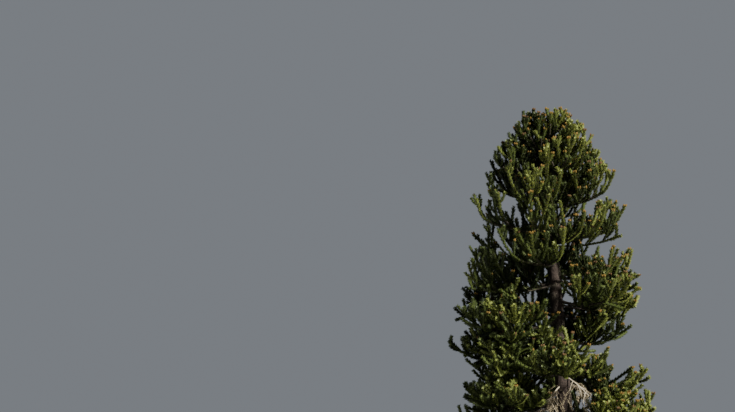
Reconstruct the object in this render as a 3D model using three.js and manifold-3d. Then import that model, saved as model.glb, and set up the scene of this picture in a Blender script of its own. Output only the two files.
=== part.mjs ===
// A monkey puzzle tree that stands rooted in level ground, in millimetres, +Z up.
// The trunk is one whole limb from a flat cut at the ground to the foot of the leader. Whorls of
// boughs leave it all the way up, steep at the top and drooping low down, and each bough carries
// a mass of rope-like leafy shoots that curve upwards. The origin is the centre of the flat cut.
import * as THREE from "three";
import { mergeVertices } from "three/addons/utils/BufferGeometryUtils.js";
import Module from "manifold-3d";

const wasm = await Module();
wasm.setup();

// The trunk
const TREE_HEIGHT = 15000;
const TRUNK_TOP = 14350;
const BREAST_HEIGHT = 1300;
const BREAST_RADIUS = 320;
const TAPER_POWER = 0.6;
const LEAN = -630; // how far the top stands to one side of the foot, along X
const SWAY = 45; // how far the axis wanders from that straight line
const FLARE_RADIUS = 170; // how much wider the foot is than the stem above it
const FLARE_HEIGHT = 380; // the flare falls to about a third of itself over this height
const ROOT_LOBES = 5;
const ROOT_LOBE_SHARE = 0.3; // of the flare
const TRUNK_SIDES = 14;
const TRUNK_RINGS = 18;
const TRUNK_RING_BUNCHING = 1.6; // over 1, the rings are closer together near the ground
const GAP = 0.3; // between pieces that meet

// The crown's outline
const CROWN_REACH = 3500; // that the lowest boughs come near
const CROWN_DEPTH = 2900; // the reach grows to two thirds of that over about this depth
const CROWN_TOP_DEPTH = 700; // the outline would close this far above the tree's top
const LOPSIDED = 0.12; // the low boughs are longer on the -X side by this share

// The whorls of boughs, counted down from the top
const WHORLS = 10;
const BOUGHS_IN_WHORL = 4;
const FIRST_BARE_WHORL = 6; // from here down, a bough is bare near the trunk
const TOP_WHORL_DEPTH = 900; // below the tree's top
const WHORL_STEP = 560;
const WHORL_STEP_GROWTH = 56;
const WHORL_TURN = 50; // degrees from one whorl to the next
const TURN_DRAW = 8; // degrees either way
const STAGGER = [0, 0.36, 0.18, 0.54]; // how far each bough of a whorl leaves below it, in whorls
const TOP_RISE = 1.45; // rise over run of a bough, near the top
const RISE_DEPTH = 3200; // over which that falls to about a third
const DROOP = 0.25; // fall over run of a bough far down
const UPTURN = 0.5; // how much steeper a bough's tip is than its foot
const STEM_SHARE = 0.8; // of the crown's reach, that a bough has without its last shoot
const BOUGH_RADIUS_SHARE = 0.27; // of the trunk's radius, at the bough's foot
const BOUGH_LEAST_RADIUS = 27;
const STEM_TIP_RADIUS = 34;
const BARE_SHARE = 0.34; // of a bough, where it is bare near the trunk
const SHORT_BOUGH = { name: "8_1", share: 0.62 };

// The side limbs, one each way from every bough
const SIDE_LIMB_AT = 0.46; // share of the bough
const SIDE_LIMB_SHARE = 0.44; // of the bough's length
const SIDE_LIMB_TURN = 38; // degrees
const SIDE_LIMB_RADIUS_SHARE = 0.8; // of the bough's radius there

// The leafy shoots
const SHOOT_SPACING = 520; // along a limb
const FIRST_SHOOT = 0.2; // share of the limb at its first shoot
const FIRST_SHOOT_PAST_BARE = 0.42;
const FIRST_SIDE_SHOOT = 0.35;
const LAST_SHOOT = 0.96;
const SHOOT_SHORTENING = 0.25; // from a limb's first shoot to its last
const SHOOT_LENGTH = 1650;
const SHOOT_LENGTH_DEPTH = 1200; // shoots grow to two thirds of that over about this depth
const SHOOT_SPLAY = [34, 64]; // degrees from the limb's own direction
const SHOOT_KNEE = 0.34; // share of a shoot's length at which it turns up
const START_LIFT = [4, 18]; // degrees above the limb's own slope
const UPRIGHT = [66, 84]; // degrees above level at a shoot's tip, high in the crown
const LOW_UPRIGHT = [24, 78]; // the same, low in the crown
const UPRIGHT_FADE = [5200, 8800]; // the depths between which one turns to the other
const SHOOT_TRIES = [1, 0.8, 0.62, 0.45]; // shares of its length that a shoot may be cut to
const LEAF_RADIUS = 150; // from a shoot's middle to its leaf tips, which stand for a whole spray
const CORE_RADIUS = 62;
const SHOOT_FOOT_RADIUS = 14;
const LONG_SHOOT = 1050; // from here up, a shoot has two rings of leaf tips and not one
const SHOOT_TWIST = 100; // degrees, over its length
const CLEARANCE = 24; // between the shoots of different masses

// The leader, which is the tree's tip, and the dead limbs
const LEADER_LENGTH = 380;
const LEADER_FOOT_RADIUS = 38;
const LEADER_SHOOTS = 6;
const LEADER_SHOOT_LENGTH = 430; // of the side shoots
const DEAD_LIMBS = [
  { height: 6250, azimuth: -52, length: 1150 },
  { height: 5950, azimuth: -128, length: 950 },
];
const DEAD_LIMB_RADIUS = 26;
const DEAD_LIMB_FALL = 0.55; // fall over run
const DEAD_TWIGS = 8;
const DEAD_TWIG_LENGTH = [330, 620];
const DEAD_TWIG_RADIUS = 15;

const BARK = new THREE.MeshStandardMaterial({ color: 0x4a3b30, roughness: 0.95, metalness: 0 });
const FOLIAGE = new THREE.MeshStandardMaterial({ color: 0x4a5c26, roughness: 0.6, metalness: 0 });
const DEAD_WOOD = new THREE.MeshStandardMaterial({ color: 0x9a8a78, roughness: 0.9, metalness: 0 });

const UP = new THREE.Vector3(0, 0, 1);
const radians = THREE.MathUtils.degToRad;

// Draws that come out the same in every run, one stream for each seed.
function seededDraws(seed) {
  let state = Math.imul(seed + 1, 2654435761) >>> 0;
  return (low, high) => {
    state = (Math.imul(state, 1664525) + 1013904223) >>> 0;
    return low + ((high - low) * state) / 4294967296;
  };
}

// The middle of the trunk at a height.
function trunkAxis(height) {
  const share = height / TREE_HEIGHT;
  const wander = SWAY * Math.sin(2 * Math.PI * share);
  return new THREE.Vector3(LEAN * share + wander, -wander, height);
}

// The trunk's radius at a height, without its root lobes.
function trunkRadius(height) {
  const left = (TREE_HEIGHT - height) / (TREE_HEIGHT - BREAST_HEIGHT);
  return BREAST_RADIUS * left ** TAPER_POWER + FLARE_RADIUS * Math.exp(-height / FLARE_HEIGHT);
}

// How far the crown reaches from the trunk, at a depth below the tree's top.
function crownReach(depth) {
  return CROWN_REACH * (1 - Math.exp(-(depth + CROWN_TOP_DEPTH) / CROWN_DEPTH));
}

// The share by which the crown is wider, at a depth, towards a heading whose X is given.
function lopsidedness(depth, headingX) {
  return 1 - LOPSIDED * Math.min(1, depth / RISE_DEPTH / 2) * headingX;
}

function whorlDepth(whorl) {
  return TOP_WHORL_DEPTH + WHORL_STEP * whorl + WHORL_STEP_GROWTH * whorl ** 2;
}

// Rise over run of the boughs of a whorl, from foot to tip.
function whorlRise(depth) {
  return TOP_RISE * Math.exp(-depth / RISE_DEPTH) - DROOP;
}

// A closed geometry as a solid that can be joined and cut.
function solidOf(geometry) {
  const bare = new THREE.BufferGeometry()
    .setAttribute("position", geometry.getAttribute("position"))
    .setIndex(geometry.index);
  const merged = mergeVertices(bare, 1e-3);
  return new wasm.Manifold(
    new wasm.Mesh({
      numProp: 3,
      vertProperties: new Float32Array(merged.attributes.position.array),
      triVerts: new Uint32Array(merged.index.array),
    }),
  );
}

// A solid as a named mesh.
function meshOf(name, solid, material) {
  const made = solid.getMesh();
  const geometry = new THREE.BufferGeometry()
    .setAttribute("position", new THREE.BufferAttribute(made.vertProperties, 3))
    .setIndex(new THREE.BufferAttribute(made.triVerts, 1));
  geometry.computeVertexNormals();
  const mesh = new THREE.Mesh(geometry, material);
  mesh.name = name;
  return mesh;
}

// The normal of the plane that a bent curve lies in, or of any plane along a straight one.
function planeNormal(curve) {
  const first = curve.v1.clone().sub(curve.v0);
  const second = curve.v2.clone().sub(curve.v1);
  const normal = first.clone().cross(second);
  if (normal.length() < 1e-6 * first.length() * second.length()) {
    const steep = Math.abs(first.z) > Math.abs(first.x);
    normal.crossVectors(first, steep ? new THREE.Vector3(1, 0, 0) : UP);
  }
  return normal.normalize();
}

// Lays a straight piece that stands along Y from 0 to 1 along a stretch of a curve, twisting as
// it goes. Its rings keep their own radii.
function laidAlong(curve, from, to, piece, twist = 0) {
  const across = planeNormal(curve);
  const position = piece.getAttribute("position");
  const vertex = new THREE.Vector3();
  for (let i = 0; i < position.count; i++) {
    vertex.fromBufferAttribute(position, i);
    const at = from + (to - from) * vertex.y;
    const other = new THREE.Vector3().crossVectors(across, curve.getTangent(at));
    const angle = Math.atan2(vertex.z, vertex.x) + twist * vertex.y;
    const radius = Math.hypot(vertex.x, vertex.z);
    const laid = curve
      .getPoint(at)
      .addScaledVector(across, radius * Math.cos(angle))
      .addScaledVector(other, radius * Math.sin(angle));
    position.setXYZ(i, laid.x, laid.y, laid.z);
  }
  return solidOf(piece);
}

// A round limb that tapers along a stretch of a curve.
function limb(curve, from, to, footRadius, tipRadius, sides, rings) {
  const straight = new THREE.CylinderGeometry(tipRadius, footRadius, 1, sides, rings);
  return laidAlong(curve, from, to, straight.translate(0, 0.5, 0));
}

// A leafy shoot: a slim three-sided core with rings of leaf tips that stand out of it.
function shoot(curve) {
  const rings = curve.getLength() < LONG_SHOOT ? 1 : 2;
  const outline = [new THREE.Vector2(0, 0), new THREE.Vector2(SHOOT_FOOT_RADIUS, 0)];
  for (let ring = 0; ring < rings; ring++) {
    const slimming = 1 - 0.2 * ring;
    const tips = (ring + 0.8) / (rings + 0.6);
    outline.push(new THREE.Vector2(LEAF_RADIUS * slimming, tips));
    outline.push(new THREE.Vector2(CORE_RADIUS * slimming, tips + 0.07));
  }
  outline.push(new THREE.Vector2(0, 1));
  const straight = new THREE.LatheGeometry(outline, 3);
  return laidAlong(curve, 0, 1, straight, radians(SHOOT_TWIST));
}

// The trunk, with its flare and root lobes. extra makes it fatter, to cut its neighbours clear.
function trunk(extra) {
  const straight = new THREE.CylinderGeometry(1, 1, 1, TRUNK_SIDES, TRUNK_RINGS);
  const position = straight.getAttribute("position");
  for (let i = 0; i < position.count; i++) {
    const share = position.getY(i) + 0.5;
    const height = TRUNK_TOP * share ** TRUNK_RING_BUNCHING;
    const angle = Math.atan2(position.getZ(i), position.getX(i));
    const flare = FLARE_RADIUS * Math.exp(-height / FLARE_HEIGHT);
    const lobes = ROOT_LOBE_SHARE * flare * Math.cos(ROOT_LOBES * angle);
    const isMiddle = Math.hypot(position.getX(i), position.getZ(i)) < 0.5;
    const radius = isMiddle ? 0 : trunkRadius(height) + lobes + extra;
    const middle = trunkAxis(height);
    position.setXYZ(
      i,
      middle.x + radius * Math.cos(angle),
      middle.y - radius * Math.sin(angle),
      height + (share === 1 ? extra : 0),
    );
  }
  return solidOf(straight);
}

// A curve that starts out along one slope and ends along another, level heading given.
function risingCurve(foot, heading, run, footSlope, tipSlope) {
  const half = (slope) =>
    heading.clone().multiplyScalar(run / 2).addScaledVector(UP, (slope * run) / 2);
  const knee = foot.clone().add(half(footSlope));
  return new THREE.QuadraticBezierCurve3(foot, knee, knee.clone().add(half(tipSlope)));
}

// A whorl's boughs, each with its curve from the trunk's middle to its tip.
function boughsOf(whorl) {
  const boughs = [];
  for (let place = 0; place < BOUGHS_IN_WHORL; place++) {
    const name = `${whorl + 1}_${place + 1}`;
    const depth = whorlDepth(whorl + STAGGER[place]);
    const foot = trunkAxis(TREE_HEIGHT - depth);
    const radius = Math.max(BOUGH_LEAST_RADIUS, BOUGH_RADIUS_SHARE * trunkRadius(foot.z));
    const draw = seededDraws(whorl * 10 + place);
    const turn = draw(-TURN_DRAW, TURN_DRAW);
    const azimuth = radians((360 * place) / BOUGHS_IN_WHORL + WHORL_TURN * whorl + turn);
    const heading = new THREE.Vector3(Math.cos(azimuth), Math.sin(azimuth), 0);
    const rise = whorlRise(depth) + draw(-0.04, 0.04);
    const stretch = lopsidedness(depth, heading.x) * draw(0.94, 1.02);
    let run = 0;
    for (let step = 0; step < 4; step++) run = STEM_SHARE * crownReach(depth - rise * run);
    run *= stretch * (name === SHORT_BOUGH.name ? SHORT_BOUGH.share : 1);
    const curve = risingCurve(foot, heading, run, rise - UPTURN / 2, rise + UPTURN / 2);
    boughs.push({ name, whorl, place, depth, heading, run, radius, curve });
  }
  return boughs;
}

// A bough's radius at a share of its length.
function boughRadius(bough, at) {
  return bough.radius + (STEM_TIP_RADIUS - bough.radius) * at;
}

// The limbs that carry a mass's shoots: the bough's leafy stretch and a side limb each way.
function leafyLimbs(bough) {
  const isBare = bough.whorl >= FIRST_BARE_WHORL;
  const from = isBare ? BARE_SHARE + GAP / bough.curve.getLength() : 0.01;
  const limbs = [{ ...bough, from, firstShoot: isBare ? FIRST_SHOOT_PAST_BARE : FIRST_SHOOT }];
  for (const side of [-1, 1]) {
    const heading = bough.heading.clone().applyAxisAngle(UP, side * radians(SIDE_LIMB_TURN));
    const foot = bough.curve.getPoint(SIDE_LIMB_AT);
    const slope = bough.curve.getTangent(SIDE_LIMB_AT);
    const rise = slope.z / Math.hypot(slope.x, slope.y);
    const run = SIDE_LIMB_SHARE * bough.run;
    const curve = risingCurve(foot, heading, run, rise, rise + UPTURN / 2);
    const radius = SIDE_LIMB_RADIUS_SHARE * boughRadius(bough, SIDE_LIMB_AT);
    limbs.push({ ...bough, heading, run, radius, curve, from: 0, firstShoot: FIRST_SIDE_SHOOT });
  }
  return limbs;
}

// The curves of the shoots that one limb would carry, each as a function of the share of its
// full length that is kept.
function shootsOf(leafyLimb, draw) {
  const { curve, heading, depth, firstShoot } = leafyLimb;
  const lowness = THREE.MathUtils.smoothstep(depth, ...UPRIGHT_FADE);
  const longest = SHOOT_LENGTH * (1 - Math.exp(-(depth + 200) / SHOOT_LENGTH_DEPTH));
  const count = Math.max(2, Math.round(((1 - firstShoot) * curve.getLength()) / SHOOT_SPACING));
  const shoots = [];
  for (let i = 0; i <= count; i++) {
    const share = i / count;
    const at = firstShoot + (LAST_SHOOT - firstShoot) * share;
    const isLast = i === count;
    const side = i % 2 ? 1 : -1;
    const splay = isLast ? draw(-6, 6) : side * draw(...SHOOT_SPLAY);
    const length = longest * (1 - SHOOT_SHORTENING * share) * draw(0.85, 1.1);
    const lift = isLast ? 0 : draw(...START_LIFT);
    const startRise = Math.asin(curve.getTangent(at).z) + radians(lift);
    const tipRise = radians(draw(...UPRIGHT) * (1 - lowness) + draw(...LOW_UPRIGHT) * lowness);
    const away = heading.clone().applyAxisAngle(UP, radians(splay));
    shoots.push((kept) => shootCurve(curve.getPoint(at), away, length * kept, startRise, tipRise));
  }
  return shoots;
}

// A shoot's curve: it leaves its limb at one angle above level and turns to another.
function shootCurve(foot, away, length, startRise, tipRise) {
  const aim = (rise) =>
    away.clone().multiplyScalar(Math.cos(rise)).addScaledVector(UP, Math.sin(rise));
  const knee = foot.clone().addScaledVector(aim(startRise), length * SHOOT_KNEE);
  const tip = knee.clone().addScaledVector(aim(tipRise), length * (1 - SHOOT_KNEE));
  return new THREE.QuadraticBezierCurve3(foot, knee, tip);
}

// Whether a point lies inside the crown's outline, which is wider low down on the -X side.
function isInCrown(point) {
  const depth = TREE_HEIGHT - point.z;
  const fromAxis = point.clone().sub(trunkAxis(point.z));
  const reach = crownReach(depth) * lopsidedness(depth, fromAxis.x / fromAxis.length());
  return depth > -1 && fromAxis.length() < reach;
}

// Straight stretches, each with its radius, that stand for a limb or shoot where room is tested.
function stretchesOf(curve, from, radius, count) {
  const end = (i) => curve.getPoint(from + ((1 - from) * i) / count);
  return Array.from({ length: count }, (_, i) => ({
    line: new THREE.Line3(end(i), end(i + 1)),
    radius,
  }));
}

// The distance between two straight lines, from a few points of the first to the whole other.
function distanceBetween(line, other) {
  const point = new THREE.Vector3();
  const closest = new THREE.Vector3();
  let least = Infinity;
  for (let i = 0; i <= 4; i++) {
    line.at(i / 4, point);
    other.closestPointToPoint(point, true, closest);
    least = Math.min(least, point.distanceTo(closest));
  }
  return least;
}

// The room in the crown that limbs and shoots have taken so far.
class Room {
  constructor() {
    this.taken = [];
  }

  take(owner, stretches, isLimb = false) {
    stretches.forEach((stretch) => this.taken.push({ ...stretch, owner, isLimb }));
  }

  // Whether an owner's stretches stay clear of all that is taken, but for its own limbs.
  isClear(owner, stretches) {
    const apart = (one, other) =>
      distanceBetween(one.line, other.line) > one.radius + other.radius + CLEARANCE;
    const isOwnLimb = (other) => other.isLimb && other.owner === owner;
    return this.taken.every(
      (other) => isOwnLimb(other) || stretches.every((one) => apart(one, other)),
    );
  }
}

// The one main piece of a solid, with hollows that were sealed in it filled.
function wholePiece(solid) {
  return solid.decompose().reduce((most, one) => (one.volume() > most.volume() ? one : most));
}

// A stem with its shoots fused on. A shoot that has no room is cut shorter, or left out.
function withShoots(owner, stem, shoots, room) {
  let mass = stem;
  for (const curveFor of shoots) {
    for (const kept of SHOOT_TRIES) {
      const curve = curveFor(kept);
      const stretches = stretchesOf(curve, 0.2, LEAF_RADIUS, 4);
      if (!isInCrown(curve.v2) || !room.isClear(owner, stretches)) continue;
      room.take(owner, stretches);
      mass = mass.add(shoot(curve));
      break;
    }
  }
  return wholePiece(mass);
}

// The mass of leafy shoots that one bough carries.
function foliage(bough, room, trunkRoom) {
  const draw = seededDraws(500 + bough.whorl * 10 + bough.place);
  const [own, ...sides] = leafyLimbs(bough);
  let stem = limb(own.curve, own.from, 1, boughRadius(own, own.from), STEM_TIP_RADIUS, 5, 3);
  for (const side of sides) {
    stem = stem.add(limb(side.curve, 0, 1, side.radius, STEM_TIP_RADIUS, 3, 2));
  }
  if (bough.whorl < FIRST_BARE_WHORL) stem = stem.subtract(trunkRoom);
  const shoots = [own, ...sides].flatMap((one) => shootsOf(one, draw));
  return withShoots(bough.name, stem, shoots, room);
}

// The tree's own tip: a short stem above the trunk with shoots all round it.
function leader(room) {
  const draw = seededDraws(900);
  const foot = trunkAxis(TRUNK_TOP + GAP);
  const tip = foot.clone().addScaledVector(UP, LEADER_LENGTH);
  const axis = new THREE.QuadraticBezierCurve3(foot, foot.clone().lerp(tip, 0.5), tip);
  const stem = limb(axis, 0, 1, LEADER_FOOT_RADIUS, STEM_TIP_RADIUS, 5, 1);
  const upwards = Math.PI / 2;
  const last = axis.getPoint(0.6);
  const shoots = [() => shootCurve(last, UP, TREE_HEIGHT - last.z, upwards, upwards)];
  for (let i = 1; i < LEADER_SHOOTS; i++) {
    const azimuth = (2 * Math.PI * i) / (LEADER_SHOOTS - 1) + radians(draw(-10, 10));
    const away = new THREE.Vector3(Math.cos(azimuth), Math.sin(azimuth), 0);
    const at = axis.getPoint(draw(0.35, 0.6));
    const tipRise = radians(draw(...UPRIGHT));
    const startRise = radians(30);
    shoots.push((kept) => shootCurve(at, away, LEADER_SHOOT_LENGTH * kept, startRise, tipRise));
  }
  return withShoots("leader", stem, shoots, room);
}

// A dead limb that hangs from the trunk, with bare twigs.
function deadLimb({ height, azimuth, length }, index, room, trunkRoom) {
  const owner = `dead_limb_${index + 1}`;
  const draw = seededDraws(950 + index);
  const angle = radians(azimuth);
  const heading = new THREE.Vector3(Math.cos(angle), Math.sin(angle), 0);
  const foot = trunkAxis(height);
  const curve = risingCurve(foot, heading, length, -DEAD_LIMB_FALL / 2, -1.5 * DEAD_LIMB_FALL);
  let wood = limb(curve, 0.02, 1, DEAD_LIMB_RADIUS, DEAD_TWIG_RADIUS, 5, 3).subtract(trunkRoom);
  for (let i = 0; i < DEAD_TWIGS; i++) {
    const at = 0.42 + (0.54 * i) / (DEAD_TWIGS - 1);
    const splay = radians((i % 2 ? 1 : -1) * draw(20, 70));
    const away = heading.clone().applyAxisAngle(UP, splay);
    const fall = radians(draw(-75, -40));
    const twigLength = draw(...DEAD_TWIG_LENGTH);
    const twig = shootCurve(curve.getPoint(at), away, twigLength, radians(-20), fall);
    const stretches = stretchesOf(twig, 0.1, DEAD_TWIG_RADIUS, 3);
    if (!room.isClear(owner, stretches)) continue;
    room.take(owner, stretches);
    wood = wood.add(limb(twig, 0, 1, DEAD_TWIG_RADIUS, 0.4 * DEAD_TWIG_RADIUS, 3, 1));
  }
  return wholePiece(wood);
}

function monkeyPuzzleTree() {
  const tree = new THREE.Group();
  const trunkRoom = trunk(GAP);
  tree.add(meshOf("trunk", trunk(0), BARK));

  const room = new Room();
  const boughs = Array.from({ length: WHORLS }, (_, whorl) => boughsOf(whorl)).flat();
  for (let i = 0; i < TRUNK_RINGS; i++) {
    const ends = [i, i + 1].map((ring) => trunkAxis((TRUNK_TOP * ring) / TRUNK_RINGS));
    room.take("trunk", [{ line: new THREE.Line3(...ends), radius: trunkRadius(ends[0].z) }]);
  }
  for (const bough of boughs) {
    for (const one of leafyLimbs(bough)) {
      room.take(bough.name, stretchesOf(one.curve, 0.05, one.radius, 6), true);
    }
  }

  for (const bough of boughs) {
    if (bough.whorl < FIRST_BARE_WHORL) continue;
    const tipRadius = boughRadius(bough, BARE_SHARE);
    const bare = limb(bough.curve, 0.02, BARE_SHARE, bough.radius, tipRadius, 7, 2);
    tree.add(meshOf(`bough_${bough.name}`, bare.subtract(trunkRoom), BARK));
  }
  tree.add(meshOf("foliage_leader", leader(room), FOLIAGE));
  for (const bough of boughs) {
    tree.add(meshOf(`foliage_${bough.name}`, foliage(bough, room, trunkRoom), FOLIAGE));
  }
  DEAD_LIMBS.forEach((dead, index) => {
    tree.add(meshOf(`dead_limb_${index + 1}`, deadLimb(dead, index, room, trunkRoom), DEAD_WOOD));
  });
  return tree;
}

export default monkeyPuzzleTree();
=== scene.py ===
"""The looks of a monkey puzzle tree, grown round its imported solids.

The rule that the solids grow by is written again here, in metres, and goes on to finer shoots:
each stout shoot of the solids becomes a spray of leafy ropes, with cones at some of their tips.
"""
import itertools
import math
from dataclasses import dataclass, replace
from functools import cached_property, lru_cache

import bpy
import numpy as np
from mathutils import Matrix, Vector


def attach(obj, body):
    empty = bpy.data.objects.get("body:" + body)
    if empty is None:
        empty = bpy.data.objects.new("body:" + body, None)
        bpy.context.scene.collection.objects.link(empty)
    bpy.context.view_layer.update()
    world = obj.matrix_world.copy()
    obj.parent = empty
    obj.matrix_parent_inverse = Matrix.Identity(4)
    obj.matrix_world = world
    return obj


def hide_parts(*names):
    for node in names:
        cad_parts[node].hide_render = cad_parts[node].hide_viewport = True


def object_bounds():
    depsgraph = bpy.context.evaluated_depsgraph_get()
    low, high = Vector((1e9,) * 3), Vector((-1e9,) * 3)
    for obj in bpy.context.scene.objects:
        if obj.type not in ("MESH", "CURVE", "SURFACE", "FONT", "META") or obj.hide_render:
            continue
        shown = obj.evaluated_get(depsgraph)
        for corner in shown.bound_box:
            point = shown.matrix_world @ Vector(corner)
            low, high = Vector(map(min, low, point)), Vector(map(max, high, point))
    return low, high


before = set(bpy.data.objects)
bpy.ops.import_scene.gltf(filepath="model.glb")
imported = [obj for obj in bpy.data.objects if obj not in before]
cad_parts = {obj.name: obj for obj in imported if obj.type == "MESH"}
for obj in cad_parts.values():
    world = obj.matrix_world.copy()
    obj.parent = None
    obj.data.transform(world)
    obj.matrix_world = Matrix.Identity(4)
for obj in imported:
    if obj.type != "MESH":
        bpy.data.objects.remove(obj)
CAD_BOX = [list(corner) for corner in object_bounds()]

bl_info = {
    "name": "Monkey Puzzle Tree",
    "version": (1, 0, 0),
    "blender": (4, 5, 0),
    "location": "3D View > Sidebar > Tree",
    "description": "Bark, leafy shoots, cones and dead limbs for a monkey puzzle tree",
    "category": "Object",
}

# The trunk, as its solid has it
TREE_HEIGHT = 15.0
TRUNK_TOP = 14.35
BREAST_HEIGHT = 1.3
BREAST_RADIUS = 0.32
TAPER_POWER = 0.6
LEAN = -0.63
SWAY = 0.045
FLARE_RADIUS = 0.17
FLARE_HEIGHT = 0.38
ROOT_LOBES = 5
ROOT_LOBE_SHARE = 0.3
TRUNK_RINGS = 18
GAP = 0.0003

# The crown's outline
CROWN_REACH = 3.5
CROWN_DEPTH = 2.9
CROWN_TOP_DEPTH = 0.7
LOPSIDED = 0.12

# The whorls of boughs, counted down from the top
WHORLS = 10
BOUGHS_IN_WHORL = 4
FIRST_BARE_WHORL = 6
TOP_WHORL_DEPTH = 0.9
WHORL_STEP = 0.56
WHORL_STEP_GROWTH = 0.056
WHORL_TURN = 50
TURN_DRAW = 8
STAGGER = (0, 0.36, 0.18, 0.54)
TOP_RISE = 1.45
RISE_DEPTH = 3.2
DROOP = 0.25
UPTURN = 0.5
STEM_SHARE = 0.8
BOUGH_RADIUS_SHARE = 0.27
BOUGH_LEAST_RADIUS = 0.027
STEM_TIP_RADIUS = 0.034
BARE_SHARE = 0.34
RISE_DRAW = (-0.04, 0.04)
RUN_DRAW = (0.94, 1.02)
SHORT_BOUGH = "8_1"
SHORT_BOUGH_SHARE = 0.62

# The side limbs, one each way from every bough
SIDE_LIMB_AT = 0.46
SIDE_LIMB_SHARE = 0.44
SIDE_LIMB_TURN = 38
SIDE_LIMB_RADIUS_SHARE = 0.8

# The stout shoots of the solids
SHOOT_SPACING = 0.52
FIRST_SHOOT = 0.2
FIRST_SHOOT_PAST_BARE = 0.42
FIRST_SIDE_SHOOT = 0.35
LAST_SHOOT = 0.96
SHOOT_SHORTENING = 0.25
SHOOT_DRAW = (0.85, 1.1)  # of its usual length
SHOOT_LENGTH = 1.65
SHOOT_LENGTH_DEPTH = 1.2
SHOOT_SPLAY = (34, 64)
LAST_SHOOT_SPLAY = (-6, 6)
SHOOT_KNEE = 0.34
START_LIFT = (4, 18)
UPRIGHT = (66, 84)
LOW_UPRIGHT = (24, 78)
UPRIGHT_FADE = (5.2, 8.8)
SHOOT_TRIES = (1, 0.8, 0.62, 0.45)
LEAF_RADIUS = 0.15
CLEARANCE = 0.024

# The leader and the dead limbs
LEADER_LENGTH = 0.38
LEADER_SHOOTS = 6
LEADER_SHOOT_LENGTH = 0.43
LEADER_SHOOT_RISE = 30
DEAD_LIMBS = ((6.25, -52, 1.15), (5.95, -128, 0.95))  # height, azimuth, length
DEAD_LIMB_RADIUS = 0.026
DEAD_LIMB_FALL = 0.55
DEAD_TWIGS = 8
DEAD_TWIG_LENGTH = (0.33, 0.62)
DEAD_TWIG_TURN = (20, 70)
DEAD_TWIG_START = -20  # degrees above level
DEAD_TWIG_END = (-75, -40)
DEAD_TWIG_RADIUS = 0.015

# The fan limbs, which rise from each bough on both sides and fill the space up to the next whorl
FAN_STATIONS = (0.14, 0.27, 0.4, 0.58, 0.76)
FAN_STATIONS_PAST_BARE = (0.37, 0.48, 0.6, 0.72, 0.84)
FAN_TURN = (12, 55)
FAN_LIFT = (0.25, 1.15)  # how much steeper than the bough they set out
FAN_UPTURN = 0.9
FAN_SHARE = 0.62  # of what is left of the bough
FAN_LEAST_RUN = 0.3
FAN_RADIUS_SHARE = 0.55
FAN_TIP_RADIUS = 0.02
FAN_TRIES = (1, 0.8, 0.62)

# The lesser boughs, one between each two neighbours of a whorl, but not high up, and not in
# front of the trunk where the crown is open
FIRST_LESSER_WHORL = 4
LESSER_TURN = 45
LESSER_DROP = (0.05, 0.3)
LESSER_SHARE = (0.88, 0.93)  # of the crown's reach, high up and low down
LESSER_RADIUS_SHARE = 0.7
LESSER_STATIONS = (0.3, 0.5, 0.7)
OPEN_DEPTH = (5.2, 10.2)
OPEN_HEADING = -0.74  # along Y, from which the front is open

# The finer ropes that each limb and stout shoot carries
ROPE_ROLL = 137.5  # degrees round their parent from one to the next
ROPE_OPENING = (42, 68)  # degrees from their parent
ROPE_KNEE = 0.4
ROPE_TURNS = 3  # tries all round, each at three lengths
ROPE_TRIES = (1, 0.78, 0.6)
ROPE_SHORTENING = 0.35  # from a parent's foot to its tip
ROPE_CLEAR_FROM = 0.4
ROPE_TIP = 0.05  # over which a rope closes
ROPE_ROOM = ((2, 3.6, 6.5, 8), (0.112, 0.134, 0.134, 0.118))  # between neighbours, by depth
ROPE_LOW_FADE = (3.6, 7.6)
ROPE_STATIONS = 5
LOWEST_START = -0.3  # a rope doesn't set out more steeply down than this
TIP_MARGIN = ((4, 7), (0.1, -0.03))  # how far tips pass the outline, by depth
BOX_INSET = 0.02
DEAD_WINDOW = ((-1.0, -4, 4.9), (0.5, 0, 6.2))  # the space before the dead limbs
TIP_STRETCH = (0.74, 0.97)  # of a stout shoot or limb, where it carries short ropes
TIP_STEP = 0.07
TIP_LENGTH = (0.25, 0.38)
TIP_CLEAR_FROM = 0.76
HANGING_DEPTH = (5.8, 9.5)  # of the limbs that also carry hanging ropes
HANGING_LIFT = -0.5
HANGING_STEP = 0.3
LEAFY_FROM = 0.14  # of a bough with no bare inner stretch
SIDE_LEAFY_FROM = 0.06
LEAST_STEM_GIRTH = 0.066
STEM_LEAVES = 0.034  # past a limb's bark

# Where the photo shows sky between the tiers: corners along X and Z on the plane Y = 0, as seen
# from the camera's place
VIEWPOINT = np.array((-6.62, -45.3, 7.77))
SKY_GAPS = np.array(
    (
        ((-0.4, 11.5), (1.0, 11.8)),
        ((-2.4, 11.45), (-1.5, 11.8)),
        ((0.3, 10.15), (1.8, 10.5)),
        ((-2.4, 10.3), (-1.9, 10.5)),
        ((-1.75, 8.6), (-1.05, 8.95)),
        ((-0.2, 8.6), (0.4, 8.9)),
        ((0.3, 6.9), (1.2, 7.45)),
        ((1.2, 6.55), (3.5, 7.4)),
        ((1.3, 6.05), (1.95, 6.4)),
    )
)

# The bark, whose plates are in the mesh
TRUNK_MESH = (620, 96)  # rings and sides
TRUNK_RING_CROWDING = 1.12  # towards the foot
TRUNK_PLATE = 0.115
TRUNK_FINE_PLATE = 0.045
BOUGH_PLATE = 0.05

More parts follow.
